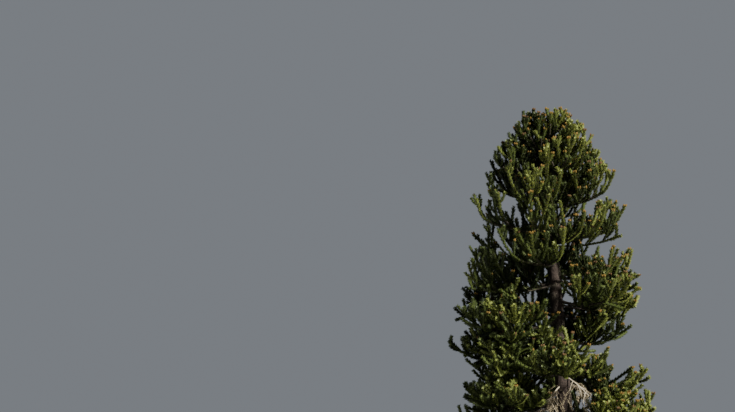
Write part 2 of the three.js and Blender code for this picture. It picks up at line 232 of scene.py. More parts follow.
# The leaves and their stems
# Leaf colours from the deepest to the lightest; which one a rope gets is partly painted light and
# shade, partly random tone
LEAF_COLOURS = ("deep_green", "dark_green", "leaf_green", "olive", "sun_green")
MOST_TRIANGLES = 185000  # in one piece
RING_TURN = 2.4  # radians, from one turn of leaves to the next
UNEVENNESS = 0.12
CORE_SIDES = 3
CORE_SHARE = 0.42  # of the reach of the leaf tips
# Painted light and shade: sprays that face the sun are painted lighter, and sprays further inside
# the crown are painted darker
LIGHTNESS = (0.06, 0.34, 0.44)  # of any rope, by how it faces the sun, and how far out it is
SPRAY_LIGHTNESS = (-0.22, 0.32)
ROPE_LIGHTNESS = (-0.12, 0.12)

# The cones and the dry shoots
CONE_SIDES = 5
CONE_CHANCE = (0.12, 0.29, 0.24)  # of any tip, by its height, and by how it faces the sun
CONE_DEPTH = 9
FRESH_SHARE = 0.7
DRY_SHOOTS = 5  # on each dead limb and twig
DRY_TURN = (-110, 110)
DRY_LENGTH = (0.35, 0.95)
DRY_START = (-70, 25)  # degrees above level
DRY_END = (-90, -62)
DRY_GIRTH = (0.02, 0.04)
DRY_LEAF_SHARE = 0.7
DRY_UNEVENNESS = 0.3

# The stage: an elevation and an azimuth for each light, with its colour
LIGHTS = {"key": (29, 42, (1.0, 0.955, 0.88)), "fill": (30, -50, (0.86, 0.92, 1.0))}
FLOOR_RADIUS = 70.0
CAMERA_TILT = 5.1  # degrees above level

UP = np.array((0.0, 0.0, 1.0))
# Painted light: sprays on the sun's side of the crown get lighter leaf colours
SUN_SIDE = np.array((0.66, -0.55, 0.51))  # the side of the crown whose sprays are the lightest

# Where the stream of draws starts for each kind of thing
SEEDS = {
    "bough": 0,
    "shoots": 500,
    "leader": 900,
    "dead limb": 950,
    "fan limbs": 1000,
    "lesser fan limbs": 1200,
    "lesser bough": 1500,
    "spray": 2000,
    "stem": 4000,
    "spray colours": 7000,
    "rope colours": 7001,
    "scars": 7100,
    "cones": 7200,
    "dry shoots": 7300,
}


def seeded_draws(kind, number=0):
    """Draws that come out the same in every run, one stream for each thing that is drawn."""
    state = (SEEDS[kind] + number + 1) * 2654435761 % 2**32

    def draw(low, high):
        nonlocal state
        state = (state * 1664525 + 1013904223) % 2**32
        return low + (high - low) * state / 2**32

    return draw


def smoothstep(value, low, high):
    share = min(1, max(0, (value - low) / (high - low)))
    return share * share * (3 - 2 * share)


def unit(vector):
    return vector / np.linalg.norm(vector)


def level(azimuth):
    """The level direction at an azimuth."""
    return np.array((math.cos(azimuth), math.sin(azimuth), 0.0))


def around(count):
    """Even angles all round."""
    return 2 * np.pi * np.arange(count) / count


def spokes_of(count):
    """Even level directions all round."""
    angles = around(count)
    return np.stack((np.cos(angles), np.sin(angles), 0 * angles), axis=1)


def turned(heading, degrees):
    """A heading turned about the upright."""
    angle = math.radians(degrees)
    x = math.cos(angle) * heading[0] - math.sin(angle) * heading[1]
    y = math.sin(angle) * heading[0] + math.cos(angle) * heading[1]
    return np.array((x, y, heading[2]))


def trunk_axis(height):
    """The middle of the trunk at a height, or at each of several."""
    share = height / TREE_HEIGHT
    wander = SWAY * np.sin(2 * np.pi * share)
    return np.stack((LEAN * share + wander, -wander, height + 0 * share), axis=-1)


def flare(height):
    return FLARE_RADIUS * np.exp(-height / FLARE_HEIGHT)


def trunk_radius(height):
    left = (TREE_HEIGHT - height) / (TREE_HEIGHT - BREAST_HEIGHT)
    return BREAST_RADIUS * left**TAPER_POWER + flare(height)


def crown_reach(depth):
    return CROWN_REACH * (1 - math.exp(-(depth + CROWN_TOP_DEPTH) / CROWN_DEPTH))


def lopsidedness(depth, heading_x):
    return 1 - LOPSIDED * min(1, depth / RISE_DEPTH / 2) * heading_x


def whorl_depth(whorl):
    return TOP_WHORL_DEPTH + WHORL_STEP * whorl + WHORL_STEP_GROWTH * whorl**2


def whorl_rise(depth):
    return TOP_RISE * math.exp(-depth / RISE_DEPTH) - DROOP


class Bend:
    """The middle line of a limb or shoot: it sets out towards its knee and turns to its tip."""

    def __init__(self, foot, knee, tip):
        self.foot, self.knee, self.tip = foot, knee, tip

    def point(self, at):
        at = np.asarray(at, float)[..., None]
        return (1 - at) ** 2 * self.foot + 2 * at * (1 - at) * self.knee + at**2 * self.tip

    def direction(self, at):
        at = np.asarray(at, float)[..., None]
        way = (1 - at) * (self.knee - self.foot) + at * (self.tip - self.knee)
        return way / np.linalg.norm(way, axis=-1, keepdims=True)

    def slope(self, at):
        """How much it rises for each metre of level run."""
        x, y, z = self.direction(at)
        return z / math.hypot(x, y)

    @cached_property
    def length(self):
        points = self.point(np.linspace(0, 1, 201))
        return float(np.linalg.norm(np.diff(points, axis=0), axis=1).sum())


def rising_bend(foot, heading, run, foot_slope, tip_slope):
    """A bend along a level heading that starts out on one slope and ends on another."""
    knee = foot + (heading + foot_slope * UP) * run / 2
    return Bend(foot, knee, knee + (heading + tip_slope * UP) * run / 2)


def bough_bend(foot, heading, run, rise):
    return rising_bend(foot, heading, run, rise - UPTURN / 2, rise + UPTURN / 2)


def shoot_bend(foot, away, length, start_rise, tip_rise):
    """A bend that leaves its limb at one angle above level and turns to another."""
    knee = foot + aim(away, start_rise) * length * SHOOT_KNEE
    return Bend(foot, knee, knee + aim(away, tip_rise) * length * (1 - SHOOT_KNEE))


def aim(away, rise):
    return away * math.cos(rise) + UP * math.sin(rise)


@dataclass
class Limb:
    """A bough, or a side limb of one."""

    mass: str
    whorl: int
    place: int
    depth: float
    heading: np.ndarray
    run: float
    radius: float
    bend: Bend
    first_shoot: float = 0.0
    is_side: bool = False
    tip_radius: float = STEM_TIP_RADIUS

    @property
    def number(self):
        return self.whorl * 10 + self.place

    @property
    def is_bare(self):
        """Whether it is on a whorl whose boughs have a bare inner stretch."""
        return self.whorl >= FIRST_BARE_WHORL

    def radius_at(self, at):
        return self.radius + (self.tip_radius - self.radius) * at


@dataclass
class Spray:
    """A stout shoot of the solids, which stands for a spray of finer ropes."""

    mass: str
    depth: float
    bend: Bend


@dataclass
class Rope:
    """One leafy shoot: its middle line, how far its leaf tips reach, and the spray it is in."""

    mass: str
    bend: Bend
    girth: float
    spray: int
    is_tipped: bool = True


def run_to_outline(depth, rise, share):
    """The level run that takes a bough to a share of the crown's reach at its tip's height."""
    run = 0
    for _ in range(4):
        run = share * crown_reach(depth - rise * run)
    return run


def boughs_of(whorl):
    boughs = []
    for place in range(BOUGHS_IN_WHORL):
        mass = f"{whorl + 1}_{place + 1}"
        depth = whorl_depth(whorl + STAGGER[place])
        foot = trunk_axis(TREE_HEIGHT - depth)
        radius = max(BOUGH_LEAST_RADIUS, BOUGH_RADIUS_SHARE * trunk_radius(foot[2]))
        draw = seeded_draws("bough", whorl * 10 + place)
        turn = draw(-TURN_DRAW, TURN_DRAW)
        azimuth = math.radians(360 * place / BOUGHS_IN_WHORL + WHORL_TURN * whorl + turn)
        heading = level(azimuth)
        rise = whorl_rise(depth) + draw(*RISE_DRAW)
        stretch = lopsidedness(depth, heading[0]) * draw(*RUN_DRAW)
        run = run_to_outline(depth, rise, STEM_SHARE)
        run *= stretch * (SHORT_BOUGH_SHARE if mass == SHORT_BOUGH else 1)
        bend = bough_bend(foot, heading, run, rise)
        boughs.append(Limb(mass, whorl, place, depth, heading, run, radius, bend))
    return boughs


def leafy_limbs(bough):
    """The limbs that carry a mass's shoots: the bough itself and a side limb each way."""
    first = FIRST_SHOOT_PAST_BARE if bough.is_bare else FIRST_SHOOT
    limbs = [replace(bough, first_shoot=first)]
    foot, rise = bough.bend.point(SIDE_LIMB_AT), bough.bend.slope(SIDE_LIMB_AT)
    run = SIDE_LIMB_SHARE * bough.run
    radius = SIDE_LIMB_RADIUS_SHARE * bough.radius_at(SIDE_LIMB_AT)
    for side in (-1, 1):
        heading = turned(bough.heading, side * SIDE_LIMB_TURN)
        side_limb = replace(bough, heading=heading, run=run, radius=radius, is_side=True)
        bend = rising_bend(foot, heading, run, rise, rise + UPTURN / 2)
        limbs.append(replace(side_limb, bend=bend, first_shoot=FIRST_SIDE_SHOOT))
    return limbs


def forms_of(foot, away, length, start_rise, tip_rise):
    """One shoot at each of the lengths that it may keep."""
    return [shoot_bend(foot, away, length * kept, start_rise, tip_rise) for kept in SHOOT_TRIES]


def shoots_of(limb, draw):
    """The forms of each shoot that one limb would carry."""
    lowness = smoothstep(limb.depth, *UPRIGHT_FADE)
    longest = SHOOT_LENGTH * (1 - math.exp(-(limb.depth + 0.2) / SHOOT_LENGTH_DEPTH))
    leafy_length = (1 - limb.first_shoot) * limb.bend.length
    count = max(2, math.floor(leafy_length / SHOOT_SPACING + 0.5))
    shoots = []
    for i in range(count + 1):
        share = i / count
        at = limb.first_shoot + (LAST_SHOOT - limb.first_shoot) * share
        is_last = i == count
        side = 1 if i % 2 else -1
        splay = draw(*LAST_SHOOT_SPLAY) if is_last else side * draw(*SHOOT_SPLAY)
        length = longest * (1 - SHOOT_SHORTENING * share) * draw(*SHOOT_DRAW)
        lift = 0 if is_last else draw(*START_LIFT)
        start_rise = math.asin(limb.bend.direction(at)[2]) + math.radians(lift)
        tip_rise = math.radians(draw(*UPRIGHT) * (1 - lowness) + draw(*LOW_UPRIGHT) * lowness)
        away = turned(limb.heading, splay)
        shoots.append(forms_of(limb.bend.point(at), away, length, start_rise, tip_rise))
    return shoots


def is_in_crown(point, margin=0.0):
    """Whether a point lies inside the crown's outline, which is wider low down on the -X side."""
    depth = TREE_HEIGHT - point[2]
    x, y = (point - trunk_axis(point[2]))[:2]
    distance = math.hypot(x, y)
    if distance == 0:
        return depth > -0.001
    reach = crown_reach(depth) * lopsidedness(depth, x / distance)
    return depth > -0.001 and distance < reach + margin


def is_in_box(point):
    """Whether a point lies in the solids' box, with room left for a cone."""
    low, high = CAD_BOX
    return all(low[i] + BOX_INSET < point[i] < high[i] - BOX_INSET for i in (0, 1))


def are_welcome(points):
    """Whether none of several points lies where the crown is open."""
    along = VIEWPOINT[1] / (VIEWPOINT[1] - points[:, 1:2])
    seen = (VIEWPOINT + (points - VIEWPOINT) * along)[:, None, ::2]
    in_gaps = ((SKY_GAPS[:, 0] < seen) & (seen < SKY_GAPS[:, 1])).all(axis=2)
    low, high = np.array(DEAD_WINDOW)
    in_window = ((low < points) & (points < high)).all(axis=1)
    return not (in_gaps.any() or in_window.any())


def stretches_of(bend, start, radius, count):
    """Straight stretches, with their radius, that stand for a limb where room is tested."""
    points = bend.point(start + (1 - start) * np.arange(count + 1) / count)
    return points[:-1], points[1:], np.full(count, radius)


class Room:
    """The room in the crown that the limbs and stout shoots of the solids have taken so far."""

    def __init__(self):
        self.taken = (np.zeros((0, 3)), np.zeros((0, 3)), np.zeros(0), np.zeros(0, object))

    def take(self, owner, stretches, is_limb=False):
        starts, ends, radii = stretches
        owners = np.full(len(radii), owner if is_limb else "", object)
        added = (starts, ends - starts, radii, owners)
        self.taken = tuple(np.concatenate(both) for both in zip(self.taken, added))

    def is_clear(self, owner, stretches):
        """Whether an owner's stretches stay clear of all that is taken, but its own limbs."""
        starts, ends, radii = stretches
        shares = np.linspace(0, 1, 5)[:, None, None]
        points = (starts + shares * (ends - starts)).reshape(-1, 1, 3)
        taken_starts, ways, taken_radii, limb_owners = self.taken
        offset = points - taken_starts
        along = (offset * ways).sum(-1) / np.maximum((ways * ways).sum(-1), 1e-12)
        offset -= np.clip(along, 0, 1)[..., None] * ways
        apart = np.linalg.norm(offset, axis=-1).reshape(len(shares), len(radii), -1).min(0)
        need = radii[:, None] + taken_radii + CLEARANCE
        return bool(((apart > need) | (limb_owners == owner)).all())


def kept_shoots(owner, shoots, room):
    """The shoots that find room, each at the longest of its lengths that does."""
    kept = []
    for forms in shoots:
        for bend in forms:
            stretches = stretches_of(bend, 0.2, LEAF_RADIUS, 4)
            if is_in_crown(bend.tip) and room.is_clear(owner, stretches):
                room.take(owner, stretches)
                kept.append(bend)
                break
    return kept


def leader_bends(room):
    draw = seeded_draws("leader")
    foot = trunk_axis(TRUNK_TOP + GAP)
    last = foot + UP * LEADER_LENGTH * 0.6
    shoots = [[shoot_bend(last, UP, TREE_HEIGHT - last[2], math.pi / 2, math.pi / 2)]]
    start_rise = math.radians(LEADER_SHOOT_RISE)
    for i in range(1, LEADER_SHOOTS):
        away = level(2 * math.pi * i / (LEADER_SHOOTS - 1) + math.radians(draw(-10, 10)))
        at = foot + UP * LEADER_LENGTH * draw(0.35, 0.6)
        tip_rise = math.radians(draw(*UPRIGHT))
        shoots.append(forms_of(at, away, LEADER_SHOOT_LENGTH, start_rise, tip_rise))
    return kept_shoots("leader", shoots, room)


@dataclass
class DeadLimb:
    """A dead limb that hangs from the trunk, and its twigs."""

    bend: Bend
    heading: np.ndarray
    twigs: list


def dead_limbs(room):
    limbs = []
    for index, (height, azimuth, length) in enumerate(DEAD_LIMBS):
        owner = f"dead_limb_{index + 1}"
        draw = seeded_draws("dead limb", index)
        heading = level(math.radians(azimuth))
        foot = trunk_axis(height)
        bend = rising_bend(foot, heading, length, -DEAD_LIMB_FALL / 2, -1.5 * DEAD_LIMB_FALL)
        twigs = []
        for i in range(DEAD_TWIGS):
            at = 0.42 + 0.54 * i / (DEAD_TWIGS - 1)
            away = turned(heading, (1 if i % 2 else -1) * draw(*DEAD_TWIG_TURN))
            start, end = math.radians(DEAD_TWIG_START), math.radians(draw(*DEAD_TWIG_END))
            twig = shoot_bend(bend.point(at), away, draw(*DEAD_TWIG_LENGTH), start, end)
            stretches = stretches_of(twig, 0.1, DEAD_TWIG_RADIUS, 3)
            if room.is_clear(owner, stretches):
                room.take(owner, stretches)
                twigs.append(twig)
        limbs.append(DeadLimb(bend, heading, twigs))
    return limbs


@lru_cache(maxsize=1)
def grown():
    """The boughs with their side limbs, the sprays and the dead limbs, by the solids' rule."""
    room = Room()
    heights = TRUNK_TOP * np.arange(TRUNK_RINGS + 1) / TRUNK_RINGS
    rings = trunk_axis(heights)
    room.take("trunk", (rings[:-1], rings[1:], trunk_radius(heights[:-1])))
    boughs = [bough for whorl in range(WHORLS) for bough in boughs_of(whorl)]
    limbs = [leafy_limbs(bough) for bough in boughs]
    for one in itertools.chain(*limbs):
        room.take(one.mass, stretches_of(one.bend, 0.05, one.radius, 6), True)

    sprays = [Spray("leader", 0.3, bend) for bend in leader_bends(room)]
    for bough, carriers in zip(boughs, limbs):
        draw = seeded_draws("shoots", bough.number)
        shoots = [shoot for limb in carriers for shoot in shoots_of(limb, draw)]
        for bend in kept_shoots(bough.mass, shoots, room):
            sprays.append(Spray(bough.mass, bough.depth, bend))
    return limbs, sprays, dead_limbs(room)


class Crowding:
    """The places that ropes already hold, in cells as wide as the most room that one needs."""

    def __init__(self):
        self.cells = {}

    def cell_of(self, point):
        return tuple(math.floor(value / max(ROPE_ROOM[1])) for value in point)

    def hold(self, points):
        for point in points.tolist():
            self.cells.setdefault(self.cell_of(point), []).append(point)

    def is_free(self, points):
        return all(self.is_point_free(point) for point in points.tolist())

    def is_point_free(self, point):
        room = np.interp(TREE_HEIGHT - point[2], *ROPE_ROOM)
        x, y, z = self.cell_of(point)
        for i, j, k in itertools.product((x - 1, x, x + 1), (y - 1, y, y + 1), (z - 1, z, z + 1)):
            for other in self.cells.get((i, j, k), ()):
                if math.dist(point, other) < room:
                    return False
        return True


def places_along(bend, start):
    """Points along a bend from a share of it on, closer together than a rope is thick."""
    count = max(2, math.ceil((1 - start) * bend.length / 0.07))
    return bend.point(start + (1 - start) * np.arange(count + 1) / count)


class Ropes:
    """Grows the finer ropes, so that each has its own room."""

    def __init__(self, sizes):
        self.sizes = sizes
        self.crowding = Crowding()
        self.ropes = []

    def add(self, rope, start):
        self.crowding.hold(places_along(rope.bend, start))
        self.ropes.append(rope)

    def add_sides(self, parent, stretch, step, lengths, lift, draw, clear=ROPE_CLEAR_FROM):
        """Side ropes of one parent along a stretch of it, by turns all round."""
        first, last = stretch
        count = round((last - first) * parent.bend.length / step)
        roll = draw(0, 360)
        for i in range(count):
            at = first + (last - first) * (i + draw(0.2, 0.8)) / count
            longest = draw(*lengths) * (1 - ROPE_SHORTENING * i / count)
            opening = math.radians(draw(*ROPE_OPENING))
            for _ in range(ROPE_TURNS):
                roll += ROPE_ROLL
                bends = side_bends(parent.bend, at, roll, opening, longest, lift)
                bend = next((one for one in bends if self.has_room(one, clear)), None)
                if bend is not None:
                    rope = Rope(parent.mass, bend, self.sizes.shoot_radius, parent.spray)
                    self.add(rope, 0.3)
                    break

    def has_room(self, bend, clear):
        """Whether a bend is in the crown, and free of others past a share of its length."""
        margin = np.interp(TREE_HEIGHT - bend.tip[2], *TIP_MARGIN)
        is_inside = is_in_crown(bend.tip, margin) and is_in_box(bend.tip)
        is_welcome = is_inside and are_welcome(bend.point((0.4, 0.6, 0.8, 1.0)))
        return is_welcome and self.crowding.is_free(places_along(bend, clear))


def side_bends(parent, at, roll, opening, longest, lift):
    """The bends, from the longest to the shortest, that a side rope may take."""
    along = parent.direction(at)
    out = unit(np.cross(along, (0.31, 0.17, 0.05) if abs(along[2]) > 0.9 else UP))
    other = np.cross(along, out)
    angle = math.radians(roll)
    away = out * math.cos(angle) + other * math.sin(angle)
    start = along * math.cos(opening) + away * math.sin(opening)
    if start[2] < LOWEST_START:
        return
    end = unit(start * (1 - lift) + UP * lift)
    foot = parent.point(at)
    for kept in ROPE_TRIES:
        knee = foot + start * longest * kept * ROPE_KNEE
        yield Bend(foot, knee, knee + end * longest * kept * (1 - ROPE_KNEE))


@dataclass
class Crown:
    """All that the trunk carries: every limb, the leafy ropes and the dead limbs."""

    limbs: list
    ropes: list
    dead: list


@lru_cache(maxsize=1)
def crown():
    """The whole crown, by the solids' rule and on to its finer limbs and ropes."""
    sizes = bpy.context.scene.tree_sizes
    main, sprays, dead = grown()
    ropes = Ropes(sizes)
    for number, spray in enumerate(sprays):
        ropes.add(Rope(spray.mass, spray.bend, sizes.shoot_radius, number), 0.15)
    leads = list(ropes.ropes)
    limbs = all_limbs(main, ropes)
    stems = [stem_of(limb, number) for number, limb in enumerate(limbs, start=len(sprays))]
    ropes.ropes += stems
    for spray, lead in zip(sprays, leads):
        add_spray_ropes(spray, lead, ropes)
    for limb, stem in zip(limbs, stems):
        add_stem_ropes(limb, stem, ropes)
    return Crown(limbs, ropes.ropes, dead)


def all_limbs(main, ropes):
    """The solids' limbs, the lesser boughs and the fan limbs of both."""
    limbs = list(itertools.chain(*main))
    for limb in limbs:
        ropes.crowding.hold(places_along(limb.bend, 0.1))
    ropes.crowding.hold(trunk_places())
    for bough, *_ in main:
        stations = FAN_STATIONS_PAST_BARE if bough.is_bare else FAN_STATIONS
        limbs += fan_limbs(bough, stations, "fan limbs", ropes)
    for bough, *_ in main:
        lesser = lesser_bough(bough)
        is_open = OPEN_DEPTH[0] < lesser.depth < OPEN_DEPTH[1]
        is_in_front = lesser.heading[1] < OPEN_HEADING
        if lesser.whorl >= FIRST_LESSER_WHORL and not (is_open and is_in_front):
            ropes.crowding.hold(places_along(lesser.bend, 0.3))
            limbs.append(lesser)
            limbs += fan_limbs(lesser, LESSER_STATIONS, "lesser fan limbs", ropes)
    return limbs


def stem_of(limb, number):
    """The leafy stretch of a limb, as a rope of its own."""
    first = BARE_SHARE if limb.is_bare else LEAFY_FROM
    if limb.is_side:
        first = SIDE_LEAFY_FROM
    girth = max(LEAST_STEM_GIRTH, limb.radius_at(0.6) + STEM_LEAVES)
    return Rope(limb.mass, part_of(limb.bend, first, 1.0), girth, number, False)


def add_spray_ropes(spray, lead, ropes):
    """The ropes of one spray, and the short ones near its tip."""
    sizes = ropes.sizes
    lowness = smoothstep(spray.depth, *ROPE_LOW_FADE)
    draw = seeded_draws("spray", lead.spray)
    lift = sizes.lift_high * (1 - lowness) + sizes.lift_low * lowness
    usual = sizes.side_shoot_length * (1 + 0.6 * lowness)
    stretch, lengths = (0.12, 0.92 - 0.22 * lowness), (0.7 * usual, 1.15 * usual)
    ropes.add_sides(lead, stretch, sizes.side_shoot_step, lengths, lift, draw)
    lift = sizes.lift_high
    ropes.add_sides(lead, TIP_STRETCH, TIP_STEP, TIP_LENGTH, lift, draw, TIP_CLEAR_FROM)


def add_stem_ropes(limb, stem, ropes):
    """The ropes of one limb, the short ones near its tip, and low down some that hang."""
    sizes = ropes.sizes
    draw = seeded_draws("stem", stem.spray)
    lowness = smoothstep(limb.depth, *ROPE_LOW_FADE)
    lift = sizes.lift_high * (1 - 0.4 * lowness)
    usual = sizes.side_shoot_length * (1 + 0.3 * lowness)
    lengths = (0.8 * usual, 1.3 * usual)
    ropes.add_sides(stem, (0.05, 1.0), sizes.side_shoot_step, lengths, lift, draw)
    ropes.add_sides(stem, TIP_STRETCH, 2 * TIP_STEP, TIP_LENGTH, lift, draw, TIP_CLEAR_FROM)
    if HANGING_DEPTH[0] < limb.depth < HANGING_DEPTH[1]:
        lengths = (1.1 * usual, 1.6 * usual)
        ropes.add_sides(stem, (0.2, 0.95), HANGING_STEP, lengths, HANGING_LIFT, draw)


def trunk_places():
    """Points all over the trunk, above the crown's lowest limbs, that no rope may come near."""
    heights = np.arange(4, TRUNK_TOP, 0.09)
    points = trunk_axis(heights)[:, None] + trunk_radius(heights)[:, None, None] * spokes_of(16)
    return points.reshape(-1, 3)


def lesser_bough(bough):
    """The lesser bough that stands between a bough and its next neighbour in the whorl."""
    draw = seeded_draws("lesser bough", bough.number)
    heading = turned(bough.heading, LESSER_TURN + draw(-TURN_DRAW, TURN_DRAW))
    depth = bough.depth + draw(*LESSER_DROP)
    foot = trunk_axis(TREE_HEIGHT - depth)
    rise = whorl_rise(depth) + draw(*RISE_DRAW)
    share = float(np.interp(smoothstep(depth, *ROPE_LOW_FADE), (0, 1), LESSER_SHARE))
    run = run_to_outline(depth, rise, share) * lopsidedness(depth, heading[0]) * draw(*RUN_DRAW)
    if bough.mass == SHORT_BOUGH:
        run *= SHORT_BOUGH_SHARE
    radius, bend = LESSER_RADIUS_SHARE * bough.radius, bough_bend(foot, heading, run, rise)
    lesser = replace(bough, depth=depth, heading=heading, run=run, radius=radius)
    return replace(lesser, bend=bend, tip_radius=FAN_TIP_RADIUS)


def fan_limbs(bough, stations, kind, ropes):
    """Finer limbs that rise from a bough, where the crown has room for them."""
    draw = seeded_draws(kind, bough.number)
    fans = []
    for at in stations:
        for side in (-1, 1):
            fan = fan_limb(bough, at + draw(-0.04, 0.04), side, draw, ropes)
            if fan is not None:
                ropes.crowding.hold(places_along(fan.bend, 0.1))
                fans.append(fan)
    return fans


def fan_limb(bough, at, side, draw, ropes):
    """One fan limb, or none where each try at it leaves the crown or touches another."""
    rise = bough.bend.slope(at)
    run = (FAN_SHARE * (1 - at) * bough.run + FAN_LEAST_RUN) * draw(*SHOOT_DRAW)
    for kept in FAN_TRIES:
        heading = turned(bough.heading, side * draw(*FAN_TURN))
        lift = rise + draw(*FAN_LIFT)
        bend = rising_bend(bough.bend.point(at), heading, run * kept, lift, lift + FAN_UPTURN)
        is_welcome = is_in_crown(bend.tip) and are_welcome(bend.point((0.6, 0.8, 1.0)))
        if is_welcome and ropes.crowding.is_free(places_along(bend, 0.25)):
            radius = FAN_RADIUS_SHARE * bough.radius_at(at)
            fan = replace(bough, heading=heading, run=run * kept, radius=radius, is_side=True)
            return replace(fan, bend=bend, tip_radius=FAN_TIP_RADIUS)
    return None


def part_of(bend, first, last):
    """A stretch of a bend as a bend of its own."""
    foot, tip = bend.point(first), bend.point(last)
    way = bend.knee - bend.foot + first * (bend.foot - 2 * bend.knee + bend.tip)
    return Bend(foot, foot + way * (last - first), tip)


def operation(name, is_reflected=False):
    """A way to combine a value with another by a Math node, the other one first if reflected."""

    def combined(self, other):
        operands = (other, self) if is_reflected else (self, other)
        return self.graph.node("ShaderNodeMath", dict(enumerate(operands)), operation=name)

    return combined


class Value:
    """A socket that takes part in Python expressions: each operation adds a Math node."""

    __add__, __radd__ = operation("ADD"), operation("ADD", is_reflected=True)
    __sub__, __rsub__ = operation("SUBTRACT"), operation("SUBTRACT", is_reflected=True)
    __mul__, __rmul__ = operation("MULTIPLY"), operation("MULTIPLY", is_reflected=True)
    __truediv__, __rtruediv__ = operation("DIVIDE"), operation("DIVIDE", is_reflected=True)

    def __init__(self, graph, socket):
        self.graph, self.socket = graph, socket


class Graph:
    """A node tree that is written as code."""

    def __init__(self, tree):
        self.tree = tree

    def node(self, kind, inputs=None, output=0, stops=(), **settings):
        """Adds a node with its settings, a ramp's places and colours, and what its sockets get."""
        made = self.tree.nodes.new(kind)
        for name, setting in settings.items():
            setattr(made, name, setting)
        if stops:
            set_stops(made.color_ramp, stops)
        self.feed(made, inputs or {})
        return Value(self, made.outputs[output])

    def feed(self, node, inputs):
        """Gives sockets their links or values."""
        for name, value in inputs.items():
            if isinstance(value, Value):
                self.tree.links.new(value.socket, node.inputs[name])
            else:
                node.inputs[name].default_value = value


def set_stops(ramp, stops):
    while len(ramp.elements) < len(stops):
        ramp.elements.new(1)
    for element, (place, colour) in zip(ramp.elements, stops):
        element.position = place
        element.color = (*colour, 1)


class ShapeGraph(Graph):
    """A Geometry Nodes tree with named inputs, whose result becomes a plain mesh."""

    def __init__(self, name, inputs):
        super().__init__(bpy.data.node_groups.new(name, "GeometryNodeTree"))
        face = self.tree.interface
        for label, kind in {"Geometry": "Geometry", **inputs, "Material": "Material"}.items():
            face.new_socket(label, in_out="INPUT", socket_type=f"NodeSocket{kind}")
        face.new_socket("Geometry", in_out="OUTPUT", socket_type="NodeSocketGeometry")
        self.entry = self.tree.nodes.new("NodeGroupInput")

    def given(self, label):
        return Value(self, self.entry.outputs[label])

    def stored(self, name, kind="FLOAT"):
        """What the base mesh holds for each of its points."""
        return self.node("GeometryNodeInputNamedAttribute", {"Name": name}, data_type=kind)

    def lines(self):
        return self.node("GeometryNodeMeshToCurve", {"Mesh": self.given("Geometry")})

    def shape(self, label):
        return self.node("GeometryNodeObjectInfo", {"Object": self.given(label)}, "Geometry")

    def facing(self, way):
        """The rotation that turns Z to a direction."""
        return self.node("FunctionNodeAlignRotationToVector", {"Vector": way}, axis="Z")

    def copies(self, shape, points, rotation, scale=(1.0, 1.0, 1.0)):
        inputs = {"Points": points, "Instance": shape, "Rotation": rotation, "Scale": scale}
        return self.node("GeometryNodeInstanceOnPoints", inputs)

    def finish(self, geometry):
        """Ends the tree: the instances are realized and take their material."""
        realized = self.node("GeometryNodeRealizeInstances", {"Geometry": geometry})
        inputs = {"Geometry": realized, "Material": self.given("Material")}
        done = self.node("GeometryNodeSetMaterial", inputs)
        leave = self.tree.nodes.new("NodeGroupOutput")
        self.tree.links.new(done.socket, leave.inputs[0])
        return self.tree


class SurfaceGraph(Graph):
    """The nodes of a new material, whose patterns lie in the object's own space."""

    def __init__(self, name):
        self.material = bpy.data.materials.new(name)
        self.material.use_nodes = True
        super().__init__(self.material.node_tree)
        self.place = self.node("ShaderNodeTexCoord", output="Object")

    def noise(self, scale, detail, place=None, output=0):
        inputs = {"Vector": place or self.place, "Scale": scale, "Detail": detail}
        return self.node("ShaderNodeTexNoise", inputs, output)

    def mixed(self, factor, first, second, **settings):
        """One colour mixed into another, by the node's own sockets for colours."""
        inputs = {"Factor": factor, 6: first, 7: second}
        return self.node("ShaderNodeMix", inputs, 2, data_type="RGBA", **settings)

    def rise(self, value, low, high):
        """A smooth rise from 0 to 1 between two levels of a value."""
        inputs = {"Value": value, "From Min": low, "From Max": high}
        return self.node("ShaderNodeMapRange", inputs, interpolation_type="SMOOTHSTEP")

    def ramp(self, share, tint, stops):
        """Lighter and darker forms of a tint, by places and strengths."""
        stops = [(place, [min(1, strength * one) for one in tint]) for place, strength in stops]
        return self.node("ShaderNodeValToRGB", {"Fac": share}, stops=stops)

    def bump(self, height, strength, distance):
        inputs = {"Strength": strength, "Distance": distance, "Height": height}
        return self.node("ShaderNodeBump", inputs)

    def finish(self, **inputs):
        """Feeds the surface's own shader and gives the material."""
        named = {name.replace("_", " "): value for name, value in inputs.items()}
        self.feed(self.tree.nodes["Principled BSDF"], named)
        return self.material


def grown_on(tree, name, base, values):
    """The plain mesh object that a tree makes from a base mesh, with these values given."""
    carrier = linked(name + "_base", base)
    modifier = carrier.modifiers.new("Shape", "NODES")
    modifier.node_group = tree
    for item in tree.interface.items_tree:
        if item.in_out == "INPUT" and item.name in values:
            modifier[item.identifier] = values[item.name]
    carrier.update_tag()
    depsgraph = bpy.context.evaluated_depsgraph_get()
    depsgraph.update()
    mesh = bpy.data.meshes.new_from_object(carrier.evaluated_get(depsgraph))
    carrier.modifiers.remove(modifier)
    bpy.data.objects.remove(carrier)
    bpy.data.meshes.remove(base)
    mesh.name = name
    for attribute in [one for one in mesh.attributes if one.name in ("girth", "aim")]:
        mesh.attributes.remove(attribute)
    return linked(name, mesh)


def linked(name, mesh):
    made = bpy.data.objects.new(name, mesh)
    bpy.context.scene.collection.objects.link(made)
    return made


def mesh_of(name, points, faces, material=None):
    mesh = bpy.data.meshes.new(name)
    mesh.from_pydata(points, [], faces)
    mesh.update()
    if material:
        mesh.materials.append(material)
    return mesh


def point_mesh(points, **stored):
    """A mesh of loose points that holds a number or a direction for each of them."""
    mesh = bpy.data.meshes.new("points")
    mesh.vertices.add(len(points))
    mesh.vertices.foreach_set("co", np.asarray(points, np.float32).ravel())
    for name, values in stored.items():
        values = np.asarray(values, np.float32)
        kind, field = ("FLOAT", "value") if values.ndim == 1 else ("FLOAT_VECTOR", "vector")
        attribute = mesh.attributes.new(name, kind, "POINT")
        attribute.data.foreach_set(field, values.ravel())
    return mesh


